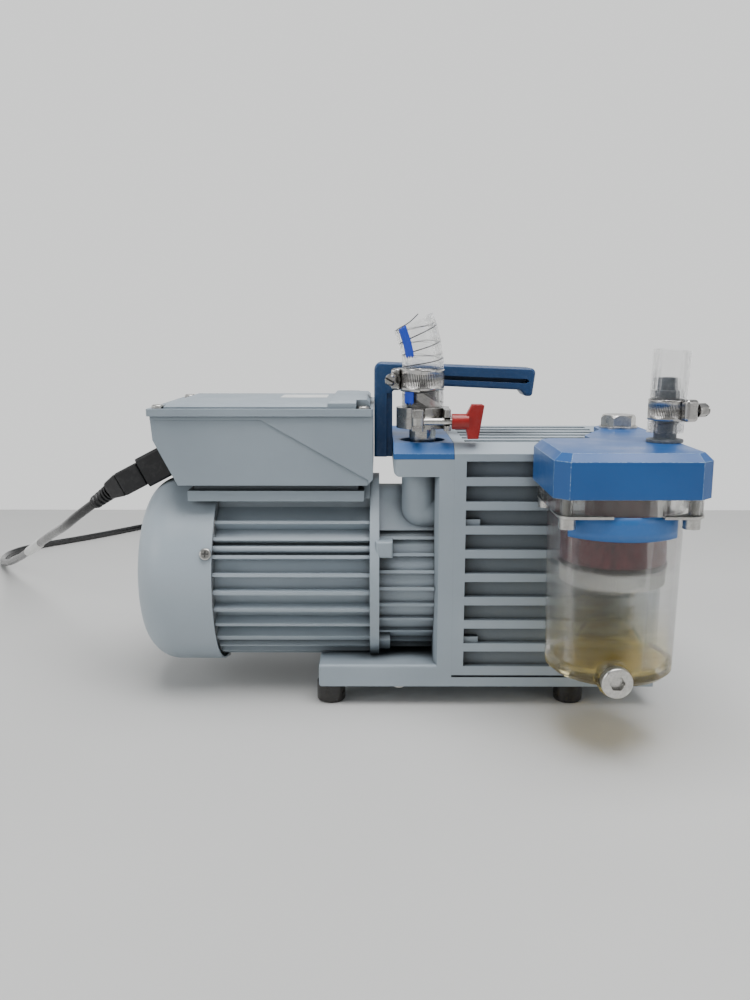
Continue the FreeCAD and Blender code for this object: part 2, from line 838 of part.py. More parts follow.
def terminal_box():
    shell = padded(
        "XZ",
        (
            ("box_left", "box_top"), ("box_left", "196"), ("-201.3", "183.5"), ("-185.5", "box_bottom"),
            ("box_right - 4", "box_bottom"), ("box_right", "157"), ("box_right", "box_top"),
        ),
        "-box_half", "box_half",
    )
    recess = padded(
        "XZ",
        (
            ("box_left - 1", "197"), ("-128.3", "197"), ("box_right - 3", "156.6"),
            ("box_right - 3", "150"), ("box_left - 1", "150"),
        ),
        "-box_half - 1", "1 - box_half",
    )
    cavity = padded(
        "XZ",
        (
            ("box_left + box_wall", "box_top + 1"), ("box_left + box_wall", "195.8"), ("-198.6", "184"),
            ("-184", "box_bottom + box_wall"), ("box_right - 5", "box_bottom + box_wall"),
            ("box_right - box_wall", "158"), ("box_right - box_wall", "box_top + 1"),
        ),
        "3.5 - box_half", "box_half - 3.5",
    )
    corners = []
    for x, y in LID_SCREW_PLACES:
        foot = "186" if number(x) < -100 else "box_bottom + 5"
        corners.append(rod("Z", x, y, foot, "3.7", "box_top - (%s)" % foot))
    openings = [at_mains_inlet(block("-10", "10", "-13", "13", "-6", "1")),
                at_mains_inlet(block("-10", "10", "24.5", "43.5", "-6", "1"))]
    walls = join(cut(shell, recess, mirrored(recess), cavity), *corners)
    screw_holes = [rod("Z", x, y, "box_top - 10", "2.05", "11") for x, y in LID_SCREW_PLACES]
    inlet_holes = [at_mains_inlet(rod("Z", "0", y, "-6", "2.05", "8")) for y in INLET_SCREW_PLACES]
    return cut(walls, rod("Z", "-110", "0", "150", "8", "10"), *openings, *screw_holes, *inlet_holes)


LID_SCREW_PLACES = (
    ("-197.6", "-52.4"), ("-197.6", "52.4"), ("-60.4", "-52.4"), ("-60.4", "52.4"),
)
INLET_SCREW_PLACES = ("-20", "20")


def terminal_box_lid():
    rim = softened(
        block("lid_left", "lid_right", "-lid_half", "lid_half", "box_top", "lid_rim_top"),
        2.5, upright,
    )
    top = softened(
        block("-193", "lid_right - 2.2", "-56", "56", "lid_rim_top - 1", "lid_top"),
        2.0, flat_at("z", number("lid_top")), "Part::Chamfer",
    )
    plateau = softened(
        block("plateau_left", "lid_right - 2.2", "-56", "56", "lid_rim_top - 1", "plateau_top"),
        2.0, flat_at("z", number("plateau_top")), "Part::Chamfer",
    )
    notches = [
        block("-65", "lid_right - 1.5", "-57", "-47.8", "lid_rim_top - 1", "plateau_top + 1"),
        block("-65", "lid_right - 1.5", "47.8", "57", "lid_rim_top - 1", "plateau_top + 1"),
    ]
    screw_holes = [rod("Z", x, y, "box_top - 1", "2.2", "8") for x, y in LID_SCREW_PLACES]
    hollow = block(
        "lid_left + 4.5", "lid_right - 4.5", "4.5 - lid_half", "lid_half - 4.5",
        "box_top - 1", "lid_rim_top + 0.8",
    )
    bosses = [rod("Z", x, y, "box_top", "5.5", "lid_rim_top - box_top") for x, y in LID_SCREW_PLACES]
    shell = cut(join(rim, top, plateau), hollow)
    return cut(join(shell, *bosses), *notches, *screw_holes)


def pan_head(radius, height):
    """Rounded screw head with a cross recess, standing on its own origin along Z."""
    doc.recompute()
    dome = softened(rod("Z", "0", "0", "0", radius, height), 1.2, flat_at("z", number(height)))
    return cut(
        dome,
        block("-2.2", "2.2", "-0.45", "0.45", "1.2", "4"),
        block("-0.45", "0.45", "-2.2", "2.2", "1.2", "4"),
    )


def pan_screw(shank):
    return join(pan_head("4.1", "2.5"), rod("Z", "0", "0", "-(%s)" % shank, "2", shank))


def pan_screws():
    """Cross-head screws of the fan cover, the lid, the mains inlet and the base."""
    screws = []
    for angle in COVER_SCREW_ANGLES:
        screw = pan_screw("8")
        screw.Placement.Rotation = FreeCAD.Rotation(FreeCAD.Vector(1, 0, 0), angle)
        put(
            screw, "-166.9", "-cover_radius * sin(%s)" % angle,
            "axis_height + cover_radius * cos(%s)" % angle,
        )
        screws.append(screw)
    for x, y in LID_SCREW_PLACES:
        low = "lid_rim_top - 1" if number(x) > -100 else "lid_rim_top"
        screws.append(put(pan_screw("9"), x, y, low))
    for y in INLET_SCREW_PLACES:
        screw = pan_screw("6")
        local = FreeCAD.Rotation(FreeCAD.Vector(0, 1, 0), number("inlet_tilt"))
        lift = local.multVec(FreeCAD.Vector(0, 0, 2.5))
        screw.Placement.Rotation = local
        put(screw, "inlet_x + (%f)" % lift.x, y, "inlet_z + (%f)" % lift.z)
        screws.append(screw)
    base = pan_screw("8")
    base.Placement.Rotation = FreeCAD.Rotation(FreeCAD.Vector(1, 0, 0), 180)
    screws.append(put(base, "-36", "-60", "foot_height"))
    return group(*screws)


def mains_inlet():
    plate = softened(block("-14.5", "14.5", "-25", "47", "0.02", "2.5"), 2.0, upright)
    shroud = softened(block("-11.3", "11.3", "-14", "14", "2", "30"), 2.5, upright)
    socket = block("-8.8", "8.8", "-12.7", "12.7", "14", "31")
    window = block("-9.6", "9.6", "26", "42", "-1", "4")
    holes = [rod("Z", "0", y, "-1", "2.05", "4") for y in INLET_SCREW_PLACES]
    pivot_seat = rod("Y", "0", "25.2", "rocker_height", "0.75", "17.6")
    pivot_way = block("-0.75", "0.75", "25.2", "42.8", "-1", "rocker_height")
    return at_mains_inlet(cut(join(plate, shroud), socket, window, pivot_seat, pivot_way, *holes))


ROCKER_TILT = 7.0


def switch_rocker():
    """Rocker of the mains switch on its round pivots, at rest with its upper end pressed in."""
    shape = padded(
        "XZ",
        (("-8.2", "-1"), ("8.2", "-1"), ("8.6", "5.2"), ("0", "3.6"), ("-8.6", "5.2")),
        "26.4", "41.6",
    )
    holder = group(join(shape, rod("Y", "0", "25.4", "0", "0.65", "17.2")))
    lean = number("inlet_tilt") + ROCKER_TILT
    holder.Placement.Rotation = FreeCAD.Rotation(FreeCAD.Vector(0, 1, 0), lean)
    return put(holder, "inlet_x - 0.8", "0", "inlet_z - 0.42")


def run_capacitor():
    return rod("X", "-160", "22", "174", "15", "62")


# ---------------------------------------------------------------- inlet flange, clamp, hose and handle

def inlet_cover_plate():
    plate = padded(
        "YZ",
        (
            ("-half_depth", "housing_top + 0.1"), ("half_depth", "housing_top + 0.1"),
            ("half_depth", "case_shoulder"), ("shoulder_depth", "case_top"),
            ("-shoulder_depth", "case_top"), ("-half_depth", "case_shoulder"),
        ),
        "housing_left - 0.1", "-0.2",
    )
    return cut(
        plate,
        rod("Z", "port_x", "port_y", "housing_top - 1", "15.3", "12"),
        *[rod("X", "handle_right - 1", side + " * 7", "177", "2.55", "16") for side in ("-1", "1")],
    )


def inlet_port():
    return turned(
        "Z",
        (
            ("8", "150"), ("port_radius", "150"), ("port_radius", "191.1"), ("flange_radius", "193"),
            ("flange_radius", "196"), ("8", "196"),
        ),
        "port_x", "port_y", "0",
    )


def inlet_seal_ring():
    return tube("Z", "port_x", "port_y", "196", "12.6", "8", "3")


def hose_adapter():
    return turned(
        "Z",
        (
            ("9.4", "199"), ("flange_radius", "199"), ("flange_radius", "201.2"),
            ("hose_bore - 0.05", "202.6"), ("hose_bore - 0.05", "227"), ("10.4", "228.4"), ("9.4", "228.4"),
        ),
        "port_x", "port_y", "0",
    )


def clamp_halves():
    ring = turned(
        "Z",
        (
            ("clamp_radius", "clamp_bottom"), ("clamp_radius", "clamp_top"), ("12.2", "clamp_top"),
            ("12.2", "202.7"), ("15.25", "201.6"), ("15.25", "192.5"), ("12.2", "191.5"),
            ("12.2", "clamp_bottom"),
        ),
        "port_x", "port_y", "0",
    )
    tall = ("clamp_bottom", "clamp_top")
    left_ear = cut(
        softened(block("-28.4", "port_x - 0.6", "-66.2", "port_y - 15.6", *tall), 1.5, upright),
        block("-30", "port_x", "-67", "-56.1", "193.7", "199.3"),
        rod("Z", "swing_x", "swing_y", "clamp_bottom - 1", "1.65", "17"),
    )
    right_ear = cut(
        softened(block("-7.2", "-2.7", "-65", "-46.5", *tall), 1.5, upright),
        block("-8", "-2", "-68", "-57.8", "193.6", "199.4"),
    )
    left_side = block("port_x - 25", "port_x - 0.6", "port_y - 25", "port_y + 25", *tall)
    right_side = block("port_x + 0.6", "port_x + 25", "port_y - 25", "port_y + 25", *tall)
    inside = rod("Z", "port_x", "port_y", "clamp_bottom", "clamp_radius - 1", "14")
    left = join(shared(ring, left_side), cut(left_ear, inside))
    right = join(shared(ring, right_side), cut(right_ear, inside))
    links = group(*[
        block("port_x - 5", "port_x + 5", "port_y + clamp_radius", "port_y + clamp_radius + 2.4", low, high)
        for low, high in (("192", "195"), ("200", "203"))
    ])
    return group(left, right, links)


def swing_bolt():
    """Bolt hinged in the left ear of the clamp, with its cross pin."""
    eye = rod("Z", "swing_x", "swing_y", "193.9", "4.3", "5.2")
    pin = rod("Z", "swing_x", "swing_y", "clamp_bottom", "1.6", "14")
    thread = rod("X", "swing_x", "swing_y", "clamp_middle", "swing_radius", "12 - swing_x")
    return join(eye, pin, thread)


def wing_nut():
    stem = rod("X", "nut_left", "swing_y", "clamp_middle", "5.15", "11")
    wing = softened(
        padded(
            "XZ",
            (
                ("7.6", "191.4"), ("8.6", "185.2"), ("15.6", "185.2"), ("19.2", "207.2"),
                ("17.8", "208"), ("11", "208"), ("7.6", "201.6"),
            ),
            "swing_y - 3.4", "swing_y + 3.4",
        ),
        0.8,
        lambda edge: flat_at("y", number("swing_y - 3.4"))(edge)
        or flat_at("y", number("swing_y + 3.4"))(edge),
    )
    bore = rod("X", "nut_left - 1", "swing_y", "clamp_middle", "swing_radius + running_gap", "15.5")
    return cut(join(stem, wing), bore)


HOSE_LEAN = 19.0


def swept_tube(points, outer, inner):
    """Tube of straight runs joined by arcs, each arc as large as its two runs allow."""
    path, length = rounded_path(points)
    start = points[0]
    direction = (points[1] - points[0]).normalize()
    solids = []
    for radius in (outer, inner):
        if radius:
            circle = Part.Wire(Part.Circle(start, direction, radius).toShape())
            solids.append(path.makePipeShell([circle], True, False, 1))
    return (solids[0].cut(solids[1]) if len(solids) == 2 else solids[0]), length


def rounded_path(points):
    """Wire of lines and tangent arcs through a route's corners, with its length."""
    edges = []
    here = points[0]
    for before, corner, after in zip(points, points[1:], points[2:]):
        back = (before - corner).normalize()
        ahead = (after - corner).normalize()
        half_turn = (math.pi - back.getAngle(ahead)) / 2
        reach = 0.45 * min(corner.distanceToPoint(before), corner.distanceToPoint(after))
        radius = reach / math.tan(half_turn)
        inward = (back + ahead).normalize()
        middle = corner + inward * (radius / math.cos(half_turn) - radius)
        first = corner + back * reach
        last = corner + ahead * reach
        edges.append(Part.LineSegment(here, first).toShape())
        edges.append(Part.Arc(first, middle, last).toShape())
        print("  corner radius %.1f mm, turn %.1f degrees" % (radius, math.degrees(2 * half_turn)))
        here = last
    edges.append(Part.LineSegment(here, points[-1]).toShape())
    wire = Part.Wire(edges)
    return wire, wire.Length


def inlet_hose():
    """Clear hose over the adapter, leaning to the left above it and cut off at a slant."""
    x = number("port_x")
    y = number("port_y")
    lean = math.radians(HOSE_LEAN)
    bend = FreeCAD.Vector(x, y, 242)
    end = bend + FreeCAD.Vector(-math.sin(lean), 0, math.cos(lean)) * 27.5
    shape = swept_tube(
        [FreeCAD.Vector(x, y, 204.7), bend, end], number("hose_radius"), number("hose_bore"),
    )[0]
    cutter = Part.makeBox(80, 80, 40, FreeCAD.Vector(-40, -40, 0))
    cutter.Placement = FreeCAD.Placement(
        FreeCAD.Vector(-26.6, y, 261.4), FreeCAD.Rotation(FreeCAD.Vector(0, 1, 0), -24),
    ).multiply(cutter.Placement)
    hose = doc.addObject("Part::Feature", "Hose")
    hose.Shape = shape.cut(cutter)
    return hose


def hose_clamp(x, y, low, high, radius, angle, start, end, tip):
    """Worm-drive clamp: a band and, tangent to it at an angle from +X, a housing with a slotted screw.

    The housing runs from start to end, measured along the screw, and the screw on to its tip.
    """
    height = "(%s) - (%s)" % (high, low)
    middle = "(%s - %s) / 2" % (high, low)
    axis = radius + " + 2.8"
    band = tube("Z", "0", "0", "0", radius + " + 0.9", radius + " + 0.05", height)
    casing = block(axis + " - 3.6", axis + " + 3.5", start, end, "0", height)
    screw = rod("Y", axis, end, middle, "4.4", "%s - %s" % (tip, end))
    slot = block(axis + " - 6", axis + " + 6", tip + " - 2.4", tip + " + 1",
                 middle + " - 0.65", middle + " + 0.65")
    hollow = rod("Z", "0", "0", "-1", radius + " + 0.05", height + " + 2")
    holder = group(cut(join(band, casing, cut(screw, slot)), hollow))
    holder.Placement.Rotation = FreeCAD.Rotation(FreeCAD.Vector(0, 0, 1), angle)
    return put(holder, x, y, low)


def handle():
    outline = (
        ("handle_left", "166.6"), ("handle_left", "233.9"), ("61.2", "229.5"), ("58.8", "209.9"),
        ("53.8", "209.9"), ("50.4", "214.3"), ("handle_right + 6", "218.4"),
        ("handle_right", "213"), ("handle_right", "166.6"),
    )
    solid = padded("XZ", outline, "-handle_half", "handle_half")
    for corner, radius in ((1, 5.5), (2, 3.6), (3, 2.3), (4, 2.3), (5, 4.0), (6, 4.0)):
        solid = softened(solid, radius, across_at(*outline[corner]))
    solid = softened(
        solid,
        2.0,
        lambda edge: not flat_at("z", 166.6)(edge) and (
            flat_at("y", number("-handle_half"))(edge) or flat_at("y", number("handle_half"))(edge)
        ),
    )
    slot = padded(
        "XZ",
        (
            ("-38", "225.9"), ("-39", "224.4"), ("-38", "222.9"),
            ("55", "219"), ("56.5", "220.4"), ("55", "221.9"),
        ),
        "-handle_half - 1", "-3",
    )
    rebate = block(
        "handle_right - 4", "handle_right + 1", "-handle_half - 1", "2.4 - handle_half", "160", "212",
    )
    counterbores = [rod("X", "handle_left - 1", side + " * 7", "177", "4.4", "6.2") for side in ("-1", "1")]
    holes = [rod("X", "handle_left - 1", side + " * 7", "177", "2.55", "16") for side in ("-1", "1")]
    return cut(solid, slot, mirrored(slot), rebate, mirrored(rebate), *counterbores, *holes)


def handle_screws():
    """Two sunk socket screws that hold the handle to the inlet cover plate."""
    screws = []
    for side in ("-1", "1"):
        head = rod("X", "handle_left + 0.3", side + " * 7", "177", "4.2", "4.8")
        socket = hexagon("X", "handle_left", side + " * 7", "177", "4.6", "2.6")
        thread = rod("X", "handle_left + 4", side + " * 7", "177", "2.5", "24")
        screws.append(join(cut(head, socket), thread))
    return screws


# ---------------------------------------------------------------- exhaust filter

def pot_bolt_places():
    return [
        ("pot_x + %d * pot_bolt_x" % a, "pot_y + %d * pot_bolt_y" % b)
        for a in (-1, 1) for b in (-1, 1)
    ]


def filter_head():
    body = softened(
        block("head_left", "head_right", "head_front", "head_back", "head_bottom", "head_top"),
        8.0, upright, "Part::Chamfer",
    )
    body = softened(body, 4.6, flat_at("z", number("head_top")), "Part::Chamfer")
    neck = padded(
        "XY",
        (
            ("88.5", "head_back - 6"), ("88.5", "-50"), ("108", "-12"), ("108", "7"), ("115", "16"),
            ("133", "16"), ("cover_right", "9"), ("cover_right", "head_back - 6"),
        ),
        "neck_bottom", "neck_top",
    )
    bolts = [rod("Z", x, y, "head_bottom - 1", "3.05", "12.5") for x, y in pot_bolt_places()]
    return cut(
        join(body, neck),
        rod("Z", "pot_x", "pot_y", "head_bottom - 1", "34", "15"),
        rod("Z", "pot_x", "pot_y", "head_bottom", "3.05", "21"),
        rod("Z", "bolt_x", "0", "neck_bottom - 1", "7", "20"),
        rod("Z", "nozzle_x", "nozzle_y", "head_top - 11", "6.05", "12"),
        *bolts,
    )


def head_bolt():
    washer = rod("Z", "bolt_x", "0", "neck_top", "13.6", "1.4")
    head = hexagon("Z", "bolt_x", "0", "neck_top + 1.4", "25.4", "8")
    crown = cone("Z", "bolt_x", "0", "neck_top + 1.4", "16.5", "11", "8.2")
    shank = rod("Z", "bolt_x", "0", "cavity_top + 0.5", "6.95", "neck_top - cavity_top")
    return join(washer, shared(head, crown), shank)


def catch_pot():
    wall = turned(
        "Z",
        (
            ("0", "pot_bottom"), ("36", "pot_bottom"), ("39", "pot_bottom + 3"),
            ("41", "pot_flange_bottom"), ("41", "head_bottom - 0.1"), ("0", "head_bottom - 0.1"),
        ),
        "pot_x", "pot_y", "0",
    )
    inside = turned(
        "Z",
        (
            ("0", "pot_bottom + 5.5"), ("32", "pot_bottom + 5.5"), ("36", "pot_bottom + 9.5"),
            ("38", "pot_flange_bottom"), ("38", "head_bottom + 1"), ("0", "head_bottom + 1"),
        ),
        "pot_x", "pot_y", "0",
    )
    flange = softened(
        block("head_left + 2.5", "head_right - 2.5", "head_front + 2", "head_back - 2",
              "pot_flange_bottom", "head_bottom - 0.1"),
        12.0, upright,
    )
    boss = rod("Y", "drain_x", "pot_y - 46", "drain_z", "10.5", "14")
    bolts = [rod("Z", x, y, "pot_flange_bottom - 1", "3.3", "14") for x, y in pot_bolt_places()]
    return cut(
        join(wall, flange, boss),
        inside,
        rod("Y", "drain_x", "pot_y - 47", "drain_z", "6.55", "14"),
        *bolts,
    )


def retaining_plates():
    heights = ("pot_flange_bottom - 1.5", "pot_flange_bottom")
    through = ("pot_flange_bottom - 2", "pot_flange_bottom + 1")
    frame = softened(
        block("pot_x - 42", "pot_x + 43", "pot_y - 41.5", "pot_y + 40", *heights),
        9.0, upright,
    )
    return cut(
        frame,
        block("pot_x - 11", "pot_x + 18", "head_front", "head_back", *through),
        block("head_left", "head_right", "pot_y - 14", "pot_y + 14", *through),
        rod("Z", "pot_x", "pot_y", "pot_flange_bottom - 3", "41.2", "5"),
        *[rod("Z", x, y, "pot_flange_bottom - 3", "3.3", "5") for x, y in pot_bolt_places()],
    )


def pot_bolts():
    bolts = []
    for x, y in pot_bolt_places():
        head = rod("Z", x, y, "pot_flange_bottom - 8.1", "5", "6.5")
        socket = hexagon("Z", x, y, "pot_flange_bottom - 9", "5.8", "4")
        shank = rod("Z", x, y, "pot_flange_bottom - 2", "3", "23")
        bolts.append(join(cut(head, socket), shank))
    return group(*bolts)


def filter_element():
    return tube("Z", "pot_x", "pot_y", "117", "32", "18", "head_bottom + 12 - 117")


def element_seal():
    ring = doc.addObject("Part::Torus", "Seal")
    bind(ring, Radius1="31.2", Radius2="1.75")
    return put(ring, "pot_x", "pot_y", "115.25")


def element_cap():
    """Ribbed clear cap that closes the element from below, with its long central stud."""
    cap = rod("Z", "pot_x", "pot_y", "103", "32", "10.5")
    return join(cap, rod("Z", "pot_x", "pot_y", "112", "3", "68"))


def drain_screw():
    head = softened(
        rod("Y", "drain_x", "pot_y - 52", "drain_z", "9.2", "5.9"),
        0.8, flat_at("y", number("pot_y - 52")), "Part::Chamfer",
    )
    socket = hexagon("Y", "drain_x", "pot_y - 53", "drain_z", "9.2", "4.5")
    thread = rod("Y", "drain_x", "pot_y - 47", "drain_z", "6.5", "11")
    return join(cut(head, socket), thread)


def outlet_nozzle():
    return turned(
        "Z",
        (
            ("3.5", "head_top - 10.8"), ("6", "head_top - 10.8"), ("6", "head_top"), ("11.25", "head_top"),
            ("11.25", "head_top + 1.8"), ("7", "head_top + 2.6"), ("7", "198"), ("8", "199"),
            ("6.8", "209.5"), ("8", "210"), ("7.2", "219"), ("6.2", "219.4"), ("5.6", "227"),
            ("3.5", "227"),
        ),
        "nozzle_x", "nozzle_y", "0",
    )


def outlet_hose():
    """Short hose, stretched a little wider inside where it is pushed over the nozzle."""
    return cut(
        tube("Z", "nozzle_x", "nozzle_y", "193", "outlet_hose_radius", "outlet_hose_bore", "52"),
        rod("Z", "nozzle_x", "nozzle_y", "192", "outlet_hose_bore + 0.3", "37"),
    )


# ---------------------------------------------------------------- mains lead

# Corners of the lead's route from the connector to the coil, each with its centre line height.
CORD_ROUTE = (
    (-261.0, 4.0, 130.0), (-277.5, 9.5, 118.5), (-294.0, 28.0, 106.0), (-317.0, 66.0, 92.5),
    (-348.0, 117.0, 72.5), (-382.0, 176.0, 50.5), (-418.0, 235.0, 28.0), (-450.0, 285.0, 10.5),
    (-472.0, 322.0, 4.0), (-479.0, 362.0, 3.5), (-460.0, 397.0, 3.5), (-425.0, 430.0, 3.5),
    (-391.0, 469.0, 3.5), (-364.0, 504.0, 3.5), (-341.0, 528.0, 3.5),
)
TAIL_START = (-304.0, 549.0, 17.0)
TAIL_END = (-272.0, 549.0, 10.5)


def mains_connector():
    """Moulded appliance connector with its tapering strain relief, pushed into the mains inlet."""
    nose = block("-8.2", "8.2", "-12.1", "12.1", "15", "31")
    shoulder = softened(block("-9", "9", "-13.5", "13.5", "30.6", "50"), 2.5, upright)
    taper = doc.addObject("Part::Wedge", "Taper")
    taper.Placement.Rotation = FreeCAD.Rotation(FreeCAD.Vector(1, 0, 0), 90)
    bind(taper, Xmin="-8.6", Xmax="8.6", Ymin="0", Ymax="12", Zmin="-12", Zmax="12",
         X2min="-6", X2max="6", Z2min="-7", Z2max="7")
    put(taper, "0", "0", "49.5")
    body = at_mains_inlet(join(nose, shoulder, taper))
    end = FreeCAD.Vector(*CORD_ROUTE[0])
    along = (FreeCAD.Vector(*CORD_ROUTE[1]) - end).normalize()
    relief = doc.addObject("Part::Feature", "Relief")
    relief.Shape = Part.makeCone(6.6, 5.2, 22, end - along * 22, along)
    return join(body, relief)


def mains_cord():
    diameter = number("cord_diameter")
    lead, length = swept_tube([FreeCAD.Vector(*point) for point in CORD_ROUTE], diameter / 2, 0)
    print("lead to the coil: length %.1f mm" % length)
    section = math.pi * diameter ** 2 / 4
    print("  volume over section times length: %.4f" % (lead.Volume / (section * length)))
    start = FreeCAD.Vector(*TAIL_START)
    end = FreeCAD.Vector(*TAIL_END)
    tail = Part.makeCylinder(diameter / 2, start.distanceToPoint(end), start, end - start)
    cord = doc.addObject("Part::Feature", "Lead")
    cord.Shape = Part.Compound([lead, tail])
    return cord


def cord_coil():
    outer = "coil_mean + cord_diameter"
    inner = "coil_mean - cord_diameter"
    return tube("Z", "coil_x", "coil_y", "0", outer, inner, "coil_height")


def mains_plug():
    x, y, z = (str(value) for value in TAIL_END)
    relief = cone("X", x, y, z, "4.6", "6.4", "24")
    grip = softened(
        block(x + " + 23", x + " + 56", y + " - 12.5", y + " + 12.5", z + " - 10.4", z + " + 10.4"),
        3.0, lambda edge: edge.Length > 15,
    )
    blades = [
        block(x + " + 55", x + " + 73", y + " + %s * 6.35 - 0.8" % side, y + " + %s * 6.35 + 0.8" % side,
              z + " - 1", z + " + 5.3")
        for side in ("-1", "1")
    ]
    earth = rod("X", x + " + 55", y, z + " - 6", "2.4", "21")
    return join(relief, grip, *blades, earth)


# ---------------------------------------------------------------- build, check and write

piece("frame_casting", frame_casting())
piece("rubber_feet", rubber_feet())
piece("oil_case", oil_case())
piece("end_cover", end_cover())
piece("oil_sight_glass", oil_sight_glass())
piece("oil_plugs", oil_plugs())
piece("gas_ballast_knob", gas_ballast_knob())
piece("socket_head_screws", group(*end_cover_screws(), *handle_screws()))
piece("pump_plates", pump_plates())
piece("pump_cylinders", pump_cylinders())
piece("pump_rotor", pump_rotor())
piece("pump_vanes", pump_vanes())
piece("exhaust_valve", exhaust_valve())
piece("shaft_seal", shaft_seal())
piece("coupling_hubs", coupling_hubs())
piece("coupling_spider", coupling_spider())
piece("motor_housing", motor_housing())
piece("tie_rods", tie_rods())
piece("rear_end_shield", rear_end_shield())
piece("front_end_shield", front_end_shield())
piece("stator_core", stator_core())
piece("stator_windings", stator_windings())
piece("rotor_core", rotor_core())
piece("motor_shaft", motor_shaft())
piece("motor_bearings", motor_bearings())
piece("cooling_fan", cooling_fan())
piece("fan_cover", fan_cover())
piece("terminal_box_base", terminal_box_base())
piece("terminal_box", terminal_box())
piece("terminal_box_lid", terminal_box_lid())
piece("cross_head_screws", pan_screws())
piece("mains_inlet", mains_inlet())
piece("switch_rocker", switch_rocker())
piece("run_capacitor", run_capacitor())
piece("inlet_cover_plate", inlet_cover_plate())
piece("inlet_port", inlet_port())
piece("inlet_seal_ring", inlet_seal_ring())
piece("hose_adapter", hose_adapter())
piece("clamp_halves", clamp_halves())
piece("swing_bolt", swing_bolt())
piece("wing_nut", wing_nut())
piece("inlet_hose", inlet_hose())
piece("inlet_hose_clamp", hose_clamp(
    "port_x", "port_y", "216.1", "230", "hose_radius", 157, "-6", "8.5", "18.3",
))
piece("handle", handle())
piece("filter_head", filter_head())
piece("head_bolt", head_bolt())
piece("catch_pot", catch_pot())
piece("retaining_plates", retaining_plates())
piece("pot_bolts", pot_bolts())
piece("filter_element", filter_element())
piece("element_seal", element_seal())
piece("element_cap", element_cap())
piece("drain_screw", drain_screw())
piece("outlet_nozzle", outlet_nozzle())
piece("outlet_hose", outlet_hose())
piece("outlet_hose_clamp", hose_clamp(
    "nozzle_x", "nozzle_y", "201", "213.6", "outlet_hose_radius", 295, "0", "9.5", "18.8",
))
piece("mains_connector", mains_connector())
piece("mains_cord", mains_cord())
piece("cord_coil", cord_coil())
piece("mains_plug", mains_plug())

doc.recompute()
faults = [item.Name for item in doc.Objects if "Invalid" in item.State or "Error" in item.State]
faults += [item.Label for item in PIECES if item.Shape.isNull() or not item.Shape.isValid()]
if faults:
    raise SystemExit("these objects failed: " + ", ".join(faults))

os.makedirs("parts", exist_ok=True)
for item in PIECES:
    item.Shape.exportStep("parts/%s.step" % item.Label)
    print("%-20s %2d solids %10.1f mm3" % (item.Label, len(item.Shape.Solids), item.Shape.Volume))
print("%d nodes" % len(PIECES))
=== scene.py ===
import json
import math

import bmesh
import bpy
from mathutils import Matrix, Vector


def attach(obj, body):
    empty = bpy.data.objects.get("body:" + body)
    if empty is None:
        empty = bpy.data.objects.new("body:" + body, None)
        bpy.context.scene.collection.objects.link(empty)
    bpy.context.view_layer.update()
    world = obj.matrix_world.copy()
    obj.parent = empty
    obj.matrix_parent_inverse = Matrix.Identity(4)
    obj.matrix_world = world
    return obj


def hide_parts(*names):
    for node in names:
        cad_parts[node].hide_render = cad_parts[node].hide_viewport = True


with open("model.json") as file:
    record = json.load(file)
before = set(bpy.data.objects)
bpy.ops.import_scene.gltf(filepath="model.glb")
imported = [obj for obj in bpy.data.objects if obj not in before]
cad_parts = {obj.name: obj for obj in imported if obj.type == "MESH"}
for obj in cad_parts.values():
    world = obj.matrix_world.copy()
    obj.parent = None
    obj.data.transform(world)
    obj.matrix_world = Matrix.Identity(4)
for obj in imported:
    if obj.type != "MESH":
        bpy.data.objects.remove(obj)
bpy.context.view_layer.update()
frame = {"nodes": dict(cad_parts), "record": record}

# Looks of the rotary vane vacuum pump. Lengths are metres in the CAD frame: X along the shaft,
# Y to the back, Z up from the surface under the feet. MM turns a length given in millimetres.
MM = 0.001
NODES = frame["nodes"]
RECORD = frame["record"]
BODY_OF_NODE = {
    node: body
    for body, members in RECORD["behaviour"]["bodies"].items()
    for node in members
}
WORN = "worn"  # name of the face value that marks a piece's eased edges


# ---------------------------------------------------------------- materials

def shader_tree(name, **constants):
    """A material with a Principled shader whose plain values sit on its own sockets."""
    material = bpy.data.materials.new(name)
    material.use_nodes = True
    shader = material.node_tree.nodes["Principled BSDF"]
    for socket, value in constants.items():
        shader.inputs[socket.replace("_", " ")].default_value = value
    return material, material.node_tree, shader


def add(tree, kind, **settings):
    item = tree.nodes.new(kind)
    for name, value in settings.items():
        setattr(item, name, value)
    return item


def noise(tree, scale, detail=3.0, roughness=0.5, stretch=None):
    """Noise fixed to the piece; scale is in cycles per metre."""
    place = add(tree, "ShaderNodeTexCoord").outputs["Object"]
    if stretch:
        mapping = add(tree, "ShaderNodeMapping")
        mapping.inputs["Scale"].default_value = stretch
        tree.links.new(place, mapping.inputs["Vector"])
        place = mapping.outputs["Vector"]
    texture = add(tree, "ShaderNodeTexNoise")
    texture.inputs["Scale"].default_value = scale
    texture.inputs["Detail"].default_value = detail
    texture.inputs["Roughness"].default_value = roughness
    tree.links.new(place, texture.inputs["Vector"])
    return texture.outputs["Fac"]


def ramp(tree, source, *stops):
    """Colour ramp over a value: stops are (position, colour or grey)."""
    item = add(tree, "ShaderNodeValToRGB")
    elements = item.color_ramp.elements
    while len(elements) < len(stops):
        elements.new(0.5)
    for element, (position, colour) in zip(elements, stops):
        element.position = position
        element.color = colour if hasattr(colour, "__len__") else (colour, colour, colour, 1)
    tree.links.new(source, item.inputs["Fac"])
    return item.outputs["Color"]


